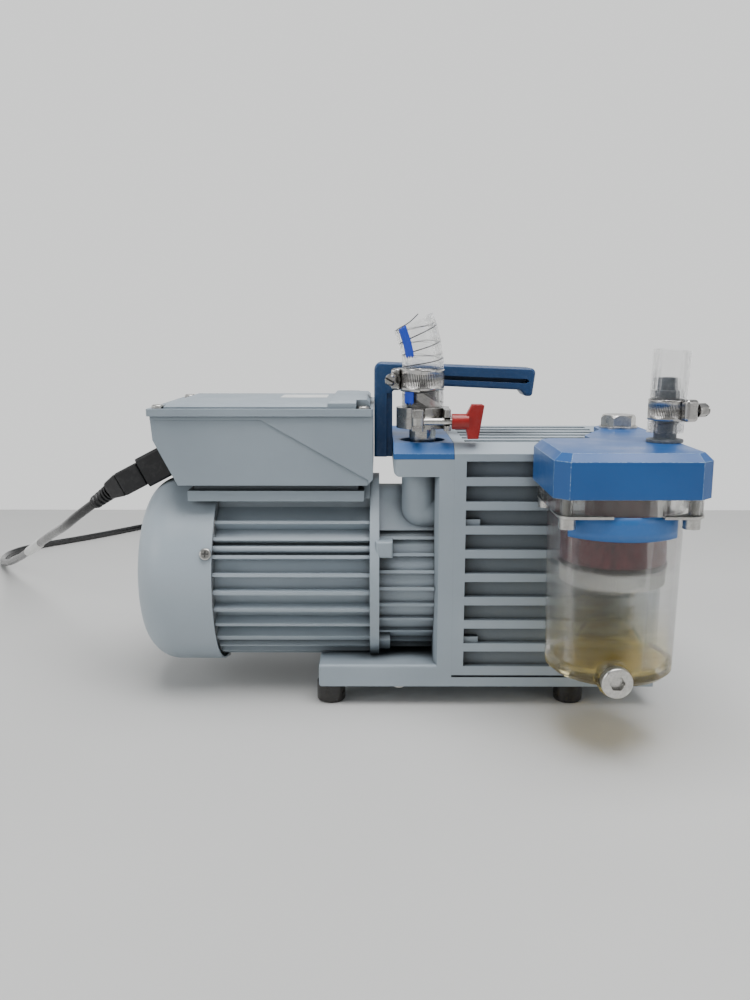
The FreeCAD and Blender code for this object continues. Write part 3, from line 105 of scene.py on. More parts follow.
def mix(tree, factor, first, second, blend="MIX"):
    """Mix two colours; any of the three may be an output or a constant."""
    item = add(tree, "ShaderNodeMix", data_type="RGBA", blend_type=blend)
    for socket, value in ((item.inputs[0], factor), (item.inputs[6], first), (item.inputs[7], second)):
        if hasattr(value, "links"):
            tree.links.new(value, socket)
        else:
            socket.default_value = value
    return item.outputs[2]


def bump(tree, shader, *layers):
    """Stack of bumps on the shader; each layer is (height, strength, depth in metres)."""
    normal = None
    for height, strength, depth in layers:
        item = add(tree, "ShaderNodeBump")
        item.inputs["Strength"].default_value = strength
        item.inputs["Distance"].default_value = depth
        tree.links.new(height, item.inputs["Height"])
        if normal:
            tree.links.new(normal, item.inputs["Normal"])
        normal = item.outputs["Normal"]
    tree.links.new(normal, shader.inputs["Normal"])


def opaque(colour):
    return (*colour, 1.0)


def height_fade(tree, low, high):
    """0 below one height, 1 above the other, in metres."""
    split = add(tree, "ShaderNodeSeparateXYZ")
    tree.links.new(add(tree, "ShaderNodeTexCoord").outputs["Object"], split.inputs[0])
    fade = add(tree, "ShaderNodeMapRange")
    fade.inputs["From Min"].default_value = low
    fade.inputs["From Max"].default_value = high
    tree.links.new(split.outputs["Z"], fade.inputs["Value"])
    return fade.outputs["Result"]


def painted_gap_shade(tree, colour, reach, darkest):
    """Colour darkened by painted shade, from ambient occlusion, in gaps narrower than about the reach."""
    gaps = add(tree, "ShaderNodeAmbientOcclusion", samples=8)
    gaps.inputs["Distance"].default_value = reach
    gap_shade = ramp(tree, gaps.outputs["AO"], (0.20, darkest), (0.78, 1.0))
    return mix(tree, 1.0, colour, gap_shade, "MULTIPLY")


def painted(name, light, dark, roughness, grain=1.0, wear=None, reach=0.016, darkest=0.12):
    """Textured machine paint: cloudy tone, stains, painted shade in its gaps, pebbled grain, worn edges."""
    material, tree, shader = shader_tree(name, Metallic=0.0)
    colour = ramp(tree, noise(tree, 14, 4), (0.30, opaque(dark)), (0.70, opaque(light)))
    stains = ramp(tree, noise(tree, 75, 5, 0.62), (0.70, 0.0), (0.80, 0.55))
    stain = tuple(channel * 0.62 for channel in dark[:2]) + (dark[2] * 0.50,)
    colour = mix(tree, stains, colour, opaque(stain))
    if wear:
        edge = add(tree, "ShaderNodeAttribute", attribute_name=WORN).outputs["Fac"]
        patches = ramp(tree, noise(tree, 1100, 3, 0.6), (0.42, 0.1), (0.60, 0.9))
        colour = mix(tree, mix(tree, 1.0, edge, patches, "MULTIPLY"), colour, opaque(wear))
    # painted shade: ambient occlusion darkens the paint's colour in its gaps
    tree.links.new(painted_gap_shade(tree, colour, reach, darkest), shader.inputs["Base Color"])
    gloss = ramp(tree, noise(tree, 30, 4), (0.3, roughness - 0.07), (0.7, roughness + 0.09))
    tree.links.new(gloss, shader.inputs["Roughness"])
    bump(
        tree, shader,
        (noise(tree, 900, 2), 0.35 * grain, 0.00016),
        (noise(tree, 260, 2), 0.25 * grain, 0.00022),
    )
    return material


def metal(name, light, dark, roughness, stretch=(1, 1, 1), scale=600, depth=0.00005, tarnish=0.25):
    """Bare metal: scratched or cast surface with uneven tarnish and painted shade in its narrow gaps."""
    material, tree, shader = shader_tree(name, Metallic=1.0)
    fine = noise(tree, scale, 4, 0.6, stretch)
    colour = ramp(tree, fine, (0.3, opaque(dark)), (0.7, opaque(light)))
    dull = ramp(tree, noise(tree, 55, 5, 0.6), (0.45, 0.0), (0.75, tarnish))
    colour = mix(tree, dull, colour, opaque(tuple(channel * 0.45 for channel in dark)))
    # painted shade: ambient occlusion darkens the metal's colour in its narrow gaps
    tree.links.new(painted_gap_shade(tree, colour, 0.003, 0.3), shader.inputs["Base Color"])
    gloss = ramp(tree, noise(tree, 120, 4), (0.3, roughness - 0.06), (0.75, roughness + 0.14))
    tree.links.new(gloss, shader.inputs["Roughness"])
    bump(tree, shader, (fine, 0.4, depth))
    return material


def moulded(name, light, dark, roughness, grain=0.4, dust=0.0, coat=0.0):
    """Moulded plastic or rubber: fine grain, slightly uneven tone, and dust on it if asked."""
    material, tree, shader = shader_tree(name, Coat_Weight=coat, Coat_Roughness=0.15)
    colour = ramp(tree, noise(tree, 40, 4), (0.3, opaque(dark)), (0.7, opaque(light)))
    if dust:
        film = ramp(tree, noise(tree, 320, 5, 0.65), (0.5, 0.0), (0.72, dust))
        colour = mix(tree, film, colour, (0.42, 0.41, 0.39, 1.0))
    tree.links.new(colour, shader.inputs["Base Color"])
    gloss = ramp(tree, noise(tree, 90, 4), (0.3, roughness - 0.05), (0.7, roughness + 0.08))
    tree.links.new(gloss, shader.inputs["Roughness"])
    bump(tree, shader, (noise(tree, 1500, 2), grain, 0.00006), (noise(tree, 120, 3), 0.2, 0.00015))
    return material


def clear(name, colour, roughness, alpha, ior, streaks=0.0, haze=0.0, bands=None):
    """Clear plastic or glass, a little hazy if asked.

    The bands, if any, are a height range and a list of places in it, from 0 to 1, each with its
    colour and its density, and take the place of the colour and the alpha.
    """
    material, tree, shader = shader_tree(name, Transmission_Weight=1 - haze, IOR=ior, Alpha=alpha)
    if bands:
        low, high, stops = bands
        fade = height_fade(tree, low, high)
        base = ramp(tree, fade, *[(place, opaque(tint)) for place, tint, density in stops])
        thickness = ramp(tree, fade, *[(place, density) for place, tint, density in stops])
        tree.links.new(thickness, shader.inputs["Alpha"])
    else:
        dim = tuple(channel * 0.96 for channel in colour)
        base = ramp(tree, noise(tree, 25, 4), (0.3, opaque(dim)), (0.7, opaque(colour)))
    tree.links.new(base, shader.inputs["Base Color"])
    runs = noise(tree, 110, 5, 0.6, (1, 1, 0.22))
    smear = ramp(tree, runs, (0.52, roughness), (0.78, roughness + streaks))
    tree.links.new(smear, shader.inputs["Roughness"])
    bump(tree, shader, (noise(tree, 60, 2), 0.12, 0.0004))
    return material


def fibrous(name, light, dark):
    """Felted filter media soaked with oil."""
    material, tree, shader = shader_tree(name, Coat_Weight=0.25, Coat_Roughness=0.22)
    threads = noise(tree, 420, 6, 0.7, (1, 1, 0.35))
    colour = ramp(tree, threads, (0.32, opaque(dark)), (0.72, opaque(light)))
    tree.links.new(colour, shader.inputs["Base Color"])
    gloss = ramp(tree, noise(tree, 200, 4), (0.35, 0.35), (0.7, 0.7))
    tree.links.new(gloss, shader.inputs["Roughness"])
    bump(tree, shader, (threads, 0.6, 0.0004))
    return material


CLEAR_PLASTIC = (0.985, 0.980, 0.940)
POT_BANDS = (0.046, 0.164, (
    (0.000, (0.95, 0.68, 0.14), 0.95), (0.050, (0.96, 0.74, 0.22), 0.92),
    (0.075, (0.97, 0.84, 0.40), 0.50), (0.340, CLEAR_PLASTIC, 0.30),
    (0.880, CLEAR_PLASTIC, 0.30), (0.886, CLEAR_PLASTIC, 0.80),
))
MATERIALS = {
    "casting": painted("grey_casting_paint", (0.345, 0.402, 0.450), (0.295, 0.350, 0.396), 0.46, 1.15),
    "motor": painted(
        "grey_motor_paint", (0.380, 0.440, 0.490), (0.330, 0.388, 0.436), 0.40, 0.8,
        reach=0.006, darkest=0.4,
    ),
    "box": painted("grey_box_paint", (0.290, 0.344, 0.390), (0.252, 0.302, 0.346), 0.45, 1.3),
    "head": painted(
        "blue_head_paint", (0.010, 0.092, 0.310), (0.007, 0.074, 0.255), 0.34, 1.0,
        wear=(0.27, 0.42, 0.60), reach=0.010, darkest=0.5,
    ),
    "plate": painted(
        "blue_plate_paint", (0.020, 0.112, 0.330), (0.015, 0.092, 0.280), 0.42, 0.7,
        wear=(0.16, 0.32, 0.58), reach=0.010, darkest=0.5,
    ),
    "handle": moulded(
        "blue_handle_plastic", (0.014, 0.062, 0.170), (0.009, 0.044, 0.130), 0.38, 0.7, dust=0.05,
    ),
    "red": moulded(
        "red_plastic", (0.330, 0.007, 0.006), (0.260, 0.005, 0.004), 0.38, 0.5, dust=0.03, coat=0.15,
    ),
    "zinc": metal("zinc_plated_steel", (0.66, 0.65, 0.62), (0.48, 0.47, 0.45), 0.30),
    "stainless": metal("stainless_steel", (0.62, 0.61, 0.59), (0.40, 0.39, 0.38), 0.17, (1, 1, 5), 500),
    "clamp": metal(
        "cast_clamp_metal", (0.58, 0.57, 0.55), (0.38, 0.37, 0.36), 0.20,
        scale=260, depth=0.00012, tarnish=0.4,
    ),
    "alloy": metal("machined_alloy", (0.70, 0.70, 0.70), (0.55, 0.55, 0.55), 0.33, (1, 6, 6), 400),
    "iron": metal(
        "ground_iron", (0.34, 0.34, 0.34), (0.22, 0.22, 0.22), 0.42, (4, 1, 1), 300, 0.00008, 0.5,
    ),
    "laminated": metal(
        "laminated_steel", (0.30, 0.30, 0.31), (0.14, 0.14, 0.15), 0.5, (14, 1, 1), 180, 0.0001,
    ),
    "copper": metal(
        "varnished_copper", (0.55, 0.24, 0.10), (0.30, 0.11, 0.05), 0.32, scale=500, depth=0.0003,
    ),
    "plated": metal("retainer_steel", (0.62, 0.61, 0.58), (0.50, 0.49, 0.47), 0.35),
    "rubber": moulded("black_rubber", (0.030, 0.028, 0.026), (0.018, 0.017, 0.016), 0.55, 0.8, 0.12),
    "foot": moulded(
        "smoked_foot_rubber", (0.016, 0.014, 0.012), (0.009, 0.008, 0.007), 0.30, 0.5, dust=0.03, coat=0.25,
    ),
    "black": moulded("black_moulding", (0.013, 0.013, 0.015), (0.008, 0.008, 0.009), 0.42, 0.8, 0.04),
    "slate": moulded(
        "slate_nozzle_plastic", (0.100, 0.118, 0.140), (0.048, 0.056, 0.068), 0.44, 0.6, dust=0.25,
    ),
    "cord": moulded(
        "cord_vinyl", (0.014, 0.014, 0.015), (0.009, 0.009, 0.010), 0.27, 0.3, dust=0.05, coat=0.35,
    ),
    "sleeve": moulded("white_sleeve", (0.78, 0.78, 0.76), (0.66, 0.66, 0.65), 0.40, 0.5, 0.10),
    "sticker": moulded("white_sticker", (0.74, 0.75, 0.74), (0.66, 0.67, 0.66), 0.35, 0.3, 0.04),
    "label": moulded("blue_label_film", (0.030, 0.150, 0.430), (0.024, 0.128, 0.380), 0.34, 0.3, 0.03),
    "marking": moulded(
        "blue_hose_marking", (0.006, 0.060, 0.560), (0.004, 0.045, 0.460), 0.42, 0.4, dust=0.02,
    ),
    "paper": moulded("pale_case_plastic", (0.62, 0.62, 0.60), (0.54, 0.54, 0.52), 0.45, 0.4),
    "composite": moulded("vane_composite", (0.075, 0.050, 0.034), (0.040, 0.027, 0.018), 0.5, 0.8),
    "media": fibrous("oily_filter_media", (0.110, 0.014, 0.021), (0.035, 0.004, 0.007)),
    "pot": clear(
        "yellowed_pot", CLEAR_PLASTIC, 0.02, 0.30, 1.49, streaks=0.06, haze=0.03, bands=POT_BANDS,
    ),
    "cap": clear("clear_cap", (0.93, 0.93, 0.90), 0.16, 0.85, 1.49, haze=0.30),
    "oil": clear("used_oil", (0.94, 0.82, 0.42), 0.05, 0.5, 1.47),
    "hose": clear("clear_vinyl", (0.94, 0.94, 0.94), 0.05, 0.58, 1.46, streaks=0.15, haze=0.02),
    "glass": clear("sight_glass", (0.95, 0.96, 0.95), 0.03, 0.6, 1.5),
    "wire": metal("hose_wire", (0.30, 0.31, 0.33), (0.20, 0.21, 0.23), 0.35),
}


# ---------------------------------------------------------------- mesh helpers

WELD_DISTANCE = 2e-6
FLAT_ANGLE = math.radians(0.4)  # faces closer to one plane than this are joined
SHARP_ANGLE = math.radians(28)  # edges sharper than this are rounded


def finish(obj, material, node, smooth):
    """Shade a piece, give it its material, and tie it to its body."""
    if obj.type == "MESH":
        obj.data.shade_smooth()
        obj.data.set_sharp_from_angle(angle=math.radians(smooth))
    obj.data.materials.clear()
    obj.data.materials.append(MATERIALS[material])
    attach(obj, BODY_OF_NODE[node])
    return obj


def from_bmesh(name, shape):
    mesh = bpy.data.meshes.new(name)
    bmesh.ops.recalc_face_normals(shape, faces=shape.faces)
    shape.to_mesh(mesh)
    shape.free()
    obj = bpy.data.objects.new(name, mesh)
    bpy.context.scene.collection.objects.link(obj)
    return obj


def weighted(obj):
    """Keep broad flat faces flat-looking beside their rounded edges."""
    modifier = obj.modifiers.new("Weighted normals", "WEIGHTED_NORMAL")
    modifier.keep_sharp = True
    modifier.weight = 60
    return obj


def eased(shape, width, segments=2):
    """Round every sharp edge of a closed shape, and mark the new faces as the ones that wear."""
    bmesh.ops.remove_doubles(shape, verts=shape.verts, dist=WELD_DISTANCE)
    bmesh.ops.dissolve_limit(
        shape, angle_limit=FLAT_ANGLE, verts=shape.verts, edges=shape.edges, use_dissolve_boundaries=False,
    )
    sharp = [
        edge for edge in shape.edges
        if len(edge.link_faces) == 2 and edge.calc_face_angle(0) > SHARP_ANGLE
    ]
    worn = shape.faces.layers.float.new(WORN)
    rounded = bmesh.ops.bevel(
        shape, geom=sharp, offset=width, offset_type="OFFSET", segments=segments, profile=0.5,
        affect="EDGES", clamp_overlap=True,
    )
    for face in rounded["faces"]:
        face[worn] = 1.0
    return shape


def rounded_node(node, width, material, segments):
    """A copy of a CAD node with its edges eased, standing for that node."""
    shape = bmesh.new()
    shape.from_mesh(NODES[node].data)
    eased(shape, width * MM, segments)
    obj = from_bmesh(node + "_body", shape)
    finish(obj, material, node, 50)
    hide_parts(node)
    return weighted(obj)


def skin(shape, rings):
    """Faces between each closed ring of vertices and the next."""
    for first, second in zip(rings, rings[1:]):
        for j in range(len(first)):
            k = (j + 1) % len(first)
            shape.faces.new((first[j], first[k], second[k], second[j]))


def skin_hose(shape, outer, inner):
    """Faces of a hose: its outside, its inside and its two ends."""
    skin(shape, outer)
    skin(shape, inner)
    for row in (0, -1):
        skin(shape, (outer[row], inner[row]))


def thickened(obj, thickness, offset=-1.0):
    """Give a sheet a thickness."""
    modifier = obj.modifiers.new("Thickness", "SOLIDIFY")
    modifier.thickness = thickness
    modifier.offset = offset
    return obj


def ring_tube(name, path, radii, segments):
    """Closed tube round a list of centre points, with a radius at each point."""
    shape = bmesh.new()
    rings = []
    for i, point in enumerate(path):
        before = path[max(i - 1, 0)]
        after = path[min(i + 1, len(path) - 1)]
        along = (after - before).normalized()
        side = along.cross(Vector((0, 1, 0)))
        if side.length < 1e-6:
            side = along.cross(Vector((1, 0, 0)))
        side.normalize()
        across = along.cross(side)
        ring = []
        for j in range(segments):
            turn = 2 * math.pi * j / segments
            spoke = side * math.cos(turn) + across * math.sin(turn)
            ring.append(shape.verts.new(point + spoke * radii[i]))
        rings.append(ring)
    skin(shape, rings)
    shape.faces.new(rings[0])
    shape.faces.new(rings[-1])
    return from_bmesh(name, shape)


def box_shape(shape, low, high, turn=None):
    """Add a box between two corners, turned by a matrix if one is given."""
    middle = (Vector(low) + Vector(high)) / 2
    size = Vector(high) - Vector(low)
    matrix = Matrix.Translation(middle) @ Matrix.Diagonal((*size, 1))
    bmesh.ops.create_cube(shape, size=1, matrix=(turn @ matrix) if turn else matrix)


def rod_shape(shape, start, end, radius, segments=24, end_radius=None):
    """Add a rod or cone between two points."""
    start = Vector(start)
    end = Vector(end)
    along = end - start
    matrix = Matrix.Translation((start + end) / 2) @ along.to_track_quat("Z", "Y").to_matrix().to_4x4()
    bmesh.ops.create_cone(
        shape, cap_ends=True, segments=segments, radius1=radius,
        radius2=radius if end_radius is None else end_radius, depth=along.length, matrix=matrix,
    )


# ---------------------------------------------------------------- castings, covers and screws

ROUNDED_NODES = (
    ("frame_casting", 1.0, "casting"), ("oil_case", 0.5, "casting"), ("end_cover", 0.6, "casting"),
    ("motor_housing", 0.45, "motor"), ("fan_cover", 0.35, "motor"),
    ("terminal_box", 0.7, "box"), ("terminal_box_base", 0.5, "box"), ("terminal_box_lid", 0.6, "box"),
    ("filter_head", 0.5, "head"), ("inlet_cover_plate", 0.6, "plate"),
    ("handle", 0.5, "handle"), ("wing_nut", 0.5, "red"), ("gas_ballast_knob", 0.6, "red"),
    ("clamp_halves", 1.2, "clamp"), ("swing_bolt", 0.3, "zinc"), ("head_bolt", 0.5, "zinc"),
    ("socket_head_screws", 0.3, "zinc"), ("cross_head_screws", 0.15, "zinc"), ("tie_rods", 0.3, "motor"),
    ("pot_bolts", 0.35, "zinc"), ("retaining_plates", 0.2, "plated"), ("drain_screw", 0.3, "zinc"),
    ("oil_plugs", 0.4, "alloy"), ("rubber_feet", 0.6, "foot"), ("mains_inlet", 0.5, "black"),
    ("switch_rocker", 0.4, "black"),
    ("outlet_nozzle", 0.25, "slate"), ("catch_pot", 0.6, "pot"), ("filter_element", 0.5, "media"),
    ("oil_sight_glass", 0.4, "glass"), ("run_capacitor", 0.8, "paper"),
)

PLAIN_NODES = (
    ("pump_cylinders", "iron"), ("pump_plates", "iron"), ("pump_rotor", "iron"), ("pump_vanes", "composite"),
    ("exhaust_valve", "zinc"), ("motor_shaft", "alloy"), ("motor_bearings", "stainless"),
    ("stator_core", "laminated"), ("rotor_core", "laminated"), ("stator_windings", "copper"),
    ("coupling_hubs", "alloy"), ("coupling_spider", "rubber"), ("shaft_seal", "rubber"),
    ("rear_end_shield", "alloy"), ("front_end_shield", "alloy"), ("cooling_fan", "black"),
    ("inlet_seal_ring", "rubber"), ("element_seal", "rubber"),
)


def build_metalwork():
    for node, width, material in ROUNDED_NODES:
        rounded_node(node, width, material, 3 if width >= 1.0 else 2)
    for node, material in PLAIN_NODES:
        obj = NODES[node]
        obj.data.materials.clear()
        obj.data.materials.append(MATERIALS[material])


# ---------------------------------------------------------------- inlet hose

PORT = Vector((-20 * MM, -38 * MM, 0))
HOSE_BEND_HEIGHT = 242 * MM
HOSE_LEAN = math.radians(19)
HOSE_FOOT = 204.8 * MM
HOSE_OUTER = 14.2 * MM
HOSE_INNER = 11.1 * MM
HOSE_REACH = 12.4 * MM
HOSE_CLAMP_HEIGHT = 223 * MM
HOSE_PINCH = 0.55 * MM
MARK_RADIUS = 14.42 * MM
MARK_THICKNESS = 0.08 * MM
WIRE_PITCH = 9.6 * MM
WIRE_RADIUS = 12.9 * MM  # of the winding
WIRE_HALF = 0.38 * MM  # half of its thickness
CUT_POINT = Vector((-26.6 * MM, -38 * MM, 261.4 * MM))
CUT_TILT = math.radians(24)


def hose_frame(s):
    """Point and direction on the inlet hose's centre line, s metres above its foot."""
    arc_start = HOSE_BEND_HEIGHT - HOSE_REACH - HOSE_FOOT
    arc_radius = HOSE_REACH / math.tan(HOSE_LEAN / 2)
    arc_length = arc_radius * HOSE_LEAN
    turn = min(max((s - arc_start) / arc_length, 0), 1) * HOSE_LEAN
    point = PORT + Vector((0, 0, HOSE_FOOT + min(s, arc_start)))
    point += Vector((-(1 - math.cos(turn)), 0, math.sin(turn))) * arc_radius
    along = Vector((-math.sin(turn), 0, math.cos(turn)))
    point += along * max(s - arc_start - arc_length, 0)
    return point, along


def on_hose(s, angle, radius):
    """Point of the hose wall; angle 0 is to the right and 270 degrees is the front."""
    point, along = hose_frame(s)
    right = Vector((along.z, 0, -along.x))
    return point + (right * math.cos(angle) + Vector((0, 1, 0)) * math.sin(angle)) * radius


def cut_length(angle, radius):
    """How far up the hose the slanted cut is, at one place round its wall."""
    normal = Vector((-math.sin(CUT_TILT), 0, math.cos(CUT_TILT)))
    low, high = 20 * MM, 90 * MM
    for _ in range(30):
        middle = (low + high) / 2
        if (on_hose(middle, angle, radius) - CUT_POINT).dot(normal) > 0:
            high = middle
        else:
            low = middle
    return low + 0.5 * MM * math.sin(3 * angle + 0.8)


LATHED_SEGMENTS = 96
LATHED_ROUNDING = 0.25 * MM


def lathed(node, axis, profile, material):
    """Turned piece standing for its CAD node; the closed profile lists radius and height."""
    shape = bmesh.new()
    rings = []
    for radius, height in profile:
        ring = []
        for j in range(LATHED_SEGMENTS):
            angle = 2 * math.pi * j / LATHED_SEGMENTS
            ring.append(shape.verts.new(axis + Vector((
                radius * math.cos(angle) * MM, radius * math.sin(angle) * MM, height * MM,
            ))))
        rings.append(ring)
    skin(shape, rings + rings[:1])
    eased(shape, LATHED_ROUNDING)
    obj = from_bmesh(node + "_body", shape)
    finish(obj, material, node, 40)
    weighted(obj)
    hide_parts(node)


def build_inlet_tubes():
    lathed("inlet_port", PORT, (
        (8, 150), (9.1, 150), (9.1, 191.1), (15, 193), (15, 196), (8, 196),
    ), "stainless")
    lathed("hose_adapter", PORT, (
        (9.4, 199), (15, 199), (15, 201.2), (11.0, 202.6), (11.0, 227), (10.4, 228.4), (9.4, 228.4),
    ), "stainless")


def build_inlet_hose():
    rows, columns = 44, 72
    shape = bmesh.new()
    walls = []
    for radius in (HOSE_OUTER, HOSE_INNER):
        wall = []
        for i in range(rows + 1):
            ring = []
            for j in range(columns):
                angle = 2 * math.pi * j / columns
                s = cut_length(angle, radius) * i / rows
                height = HOSE_FOOT + s
                pinch = HOSE_PINCH * math.exp(-((height - HOSE_CLAMP_HEIGHT) / (8.5 * MM)) ** 2)
                swell = 0.18 * MM * math.sin(2 * angle + 40 * s / HOSE_OUTER * 0.1)
                if radius == HOSE_INNER:
                    pinch = 0
                ring.append(shape.verts.new(on_hose(s, angle, radius + swell - pinch)))
            wall.append(ring)
        walls.append(wall)
    skin_hose(shape, *walls)
    hose = from_bmesh("inlet_hose_wall", shape)
    finish(hose, "hose", "inlet_hose", 40)
    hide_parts("inlet_hose")
    build_hose_wire()
    build_hose_marks()


def nurbs_curve(name, points, radius, steps, roundness):
    """Smooth round curve near the points, with steps along each stretch and roundness across."""
    curve = bpy.data.curves.new(name, "CURVE")
    curve.dimensions = "3D"
    spline = curve.splines.new("NURBS")
    spline.points.add(len(points) - 1)
    for item, point in zip(spline.points, points):
        item.co = (*point, 1)
    spline.order_u = 3
    spline.use_endpoint_u = True
    spline.resolution_u = steps
    curve.bevel_depth = radius
    curve.bevel_resolution = roundness
    curve.use_fill_caps = True
    obj = bpy.data.objects.new(name, curve)
    bpy.context.scene.collection.objects.link(obj)
    return obj


def curve_tube(name, points, radius):
    """Round wire along points, as a mesh."""
    holder = nurbs_curve(name + "_line", points, radius, 12, 3)
    bpy.context.view_layer.update()
    mesh = bpy.data.meshes.new_from_object(holder.evaluated_get(bpy.context.evaluated_depsgraph_get()))
    mesh.name = name
    bpy.data.objects.remove(holder)
    obj = bpy.data.objects.new(name, mesh)
    bpy.context.scene.collection.objects.link(obj)
    return obj


def build_hose_wire():
    """Spring wire wound in the hose wall, its cut end standing out of the slanted mouth."""
    steps_per_turn = 24
    exit_angle = math.radians(243)
    exit_s = cut_length(exit_angle, WIRE_RADIUS)
    turns = (exit_s - 2.5 * MM) / WIRE_PITCH
    points = []
    for i in range(int(turns * steps_per_turn), -1, -1):
        angle = exit_angle - 2 * math.pi * i / steps_per_turn
        points.append(on_hose(exit_s - WIRE_PITCH * i / steps_per_turn, angle, WIRE_RADIUS))
    last = points[-1]
    points.append(last + Vector((4.0, -1.2, 2.8)) * MM)
    points.append(last + Vector((8.0, -0.8, 7.0)) * MM)
    wire = curve_tube("inlet_hose_wire", points, WIRE_HALF)
    finish(wire, "wire", "inlet_hose", 60)


def hose_patch(name, start_angle, end_angle, start_s, end_s, ragged):
    """Printed patch on the hose's outside; its upper edge is a function, its lower one is ragged."""
    shape = bmesh.new()
    rows, columns = 16, 10
    grid = []
    for i in range(rows + 1):
        row = []
        for j in range(columns + 1):
            angle = start_angle + (end_angle - start_angle) * j / columns
            s = start_s + (end_s(angle) - start_s) * i / rows
            s += ragged * math.sin(j * 2.1) * (i == 0)
            row.append(shape.verts.new(on_hose(s, angle, MARK_RADIUS)))
        grid.append(row)
    for first, second in zip(grid, grid[1:]):
        for j in range(columns):
            shape.faces.new((first[j], first[j + 1], second[j + 1], second[j]))
    mark = thickened(from_bmesh(name, shape), MARK_THICKNESS)
    finish(mark, "marking", "inlet_hose", 60)


def build_hose_marks():
    """Blue printed stripe on the hose, cut through by its clamp."""
    left, right = math.radians(217), math.radians(245)
    hose_patch(
        "inlet_hose_mark_upper", left, right, 34.5 * MM,
        lambda angle: cut_length(angle, HOSE_OUTER) - 0.4 * MM, 1.2 * MM,
    )
    hose_patch(
        "inlet_hose_mark_lower", left - 0.14, right - 0.05, 2.4 * MM,
        lambda angle: 12 * MM, 1.0 * MM,
    )


# ---------------------------------------------------------------- worm-drive hose clamps

BAND_THICKNESS = 0.6 * MM
BAND_STEP = math.radians(2.4)
BAND_LIP = 0.30 * MM
SLOT_SLANT = 0.055  # radians between the lower and the upper end of a slot
SLOT_ROW = 2  # the row of faces that the worm's slots are cut from
LAP_STAND_OFF = 0.75 * MM
WORM_AXIS_RISE = 3.4 * MM  # from the band's outside to the middle of the screw
HOUSING_BELOW = 3.6 * MM
HOUSING_ABOVE = 3.5 * MM
HOUSING_ROUNDING = 2.2 * MM
HOUSING_OVERHANG = 1.0 * MM  # how much wider than the band the housing is
DRIVER_SLOT_HALF = 0.65 * MM
DRIVER_SLOT_TURN = math.radians(28)


def band(name, centre, radius, low, high, start, span):
    """Steel band round a vertical axis, from one angle over a span, slotted for the worm."""
    shape = bmesh.new()
    steps = int(span / BAND_STEP)
    height = high - low
    levels = (low, low + 0.10 * height, low + 0.24 * height, low + 0.76 * height, low + 0.90 * height, high)
    lift = (BAND_LIP, 0.0, 0.0, 0.0, 0.0, BAND_LIP)
    slant = (0, 0, 0, SLOT_SLANT, SLOT_SLANT, SLOT_SLANT)
    grid = []
    for i in range(steps + 1):
        column = []
        for level, out, shift in zip(levels, lift, slant):
            angle = start + span * i / steps + shift
            r = radius + out
            column.append(shape.verts.new((
                centre.x + r * math.cos(angle), centre.y + r * math.sin(angle), level,
            )))
        grid.append(column)
    for i, (first, second) in enumerate(zip(grid, grid[1:])):
        for j in range(len(levels) - 1):
            if j == SLOT_ROW and i % 2 == 0:
                continue
            shape.faces.new((first[j], second[j], second[j + 1], first[j + 1]))
    return thickened(from_bmesh(name, shape), BAND_THICKNESS, 1.0)


def worm_drive(node, centre, radius, height, middle, angle, reach):
    """Half-round housing and slotted screw, tangent to the band at an angle.

    The reach gives where the housing starts and ends and where the screw's tip is, along the screw.
    """
    outward = Vector((math.cos(angle), math.sin(angle), 0))
    along = Vector((-math.sin(angle), math.cos(angle), 0))
    place = Matrix((along, outward, Vector((0, 0, 1)))).transposed().to_4x4()
    place.translation = Vector((centre.x, centre.y, middle)) + outward * (radius + WORM_AXIS_RISE)
    start, end, tip = (value * MM for value in reach)
    half = height / 2

    shape = bmesh.new()
    box_shape(shape, (start, -HOUSING_BELOW, -half), (end, HOUSING_ABOVE, half), place)
    eased(shape, HOUSING_ROUNDING, 4)
    housing = from_bmesh(node + "_housing", shape)
    finish(housing, "stainless", node, 50)
    weighted(housing)

    shape = bmesh.new()
    for low, high, radius_low, radius_high, sides in (
        (start + 1 * MM, end + 1.2 * MM, 2.9 * MM, 2.9 * MM, 24),
        (end + 0.2 * MM, end + 1.5 * MM, 4.5 * MM, 4.5 * MM, 28),
        (end + 1.2 * MM, tip - 1.5 * MM, 4.3 * MM, 4.3 * MM, 6),
        (tip - 1.8 * MM, tip, 4.0 * MM, 3.0 * MM, 24),
    ):
        foot = place @ Vector((low, 0, 0))
        head = place @ Vector((high, 0, 0))
        rod_shape(shape, foot, head, radius_low, sides, radius_high)
    screw = from_bmesh(node + "_screw", shape)
    cutter = bmesh.new()
    low = Vector((tip - 2.4 * MM, -6 * MM, -DRIVER_SLOT_HALF))
    high = Vector((tip + 1.0 * MM, 6 * MM, DRIVER_SLOT_HALF))
    box_shape(cutter, low, high, place @ Matrix.Rotation(DRIVER_SLOT_TURN, 4, "X"))
    apply_boolean(screw, from_bmesh(node + "_cutter", cutter))
    finish(screw, "clamp", node, 35)


def apply_boolean(obj, cutter):
    """Cut one closed mesh out of another and keep the result."""
    modifier = obj.modifiers.new("Cut", "BOOLEAN")
    modifier.operation = "DIFFERENCE"
    modifier.object = cutter
    modifier.solver = "EXACT"
    modifier.use_self = True
    bpy.context.view_layer.update()
    mesh = bpy.data.meshes.new_from_object(obj.evaluated_get(bpy.context.evaluated_depsgraph_get()))
    obj.modifiers.clear()
    old = obj.data
    obj.data = mesh
    bpy.data.meshes.remove(old)
    bpy.data.objects.remove(cutter)


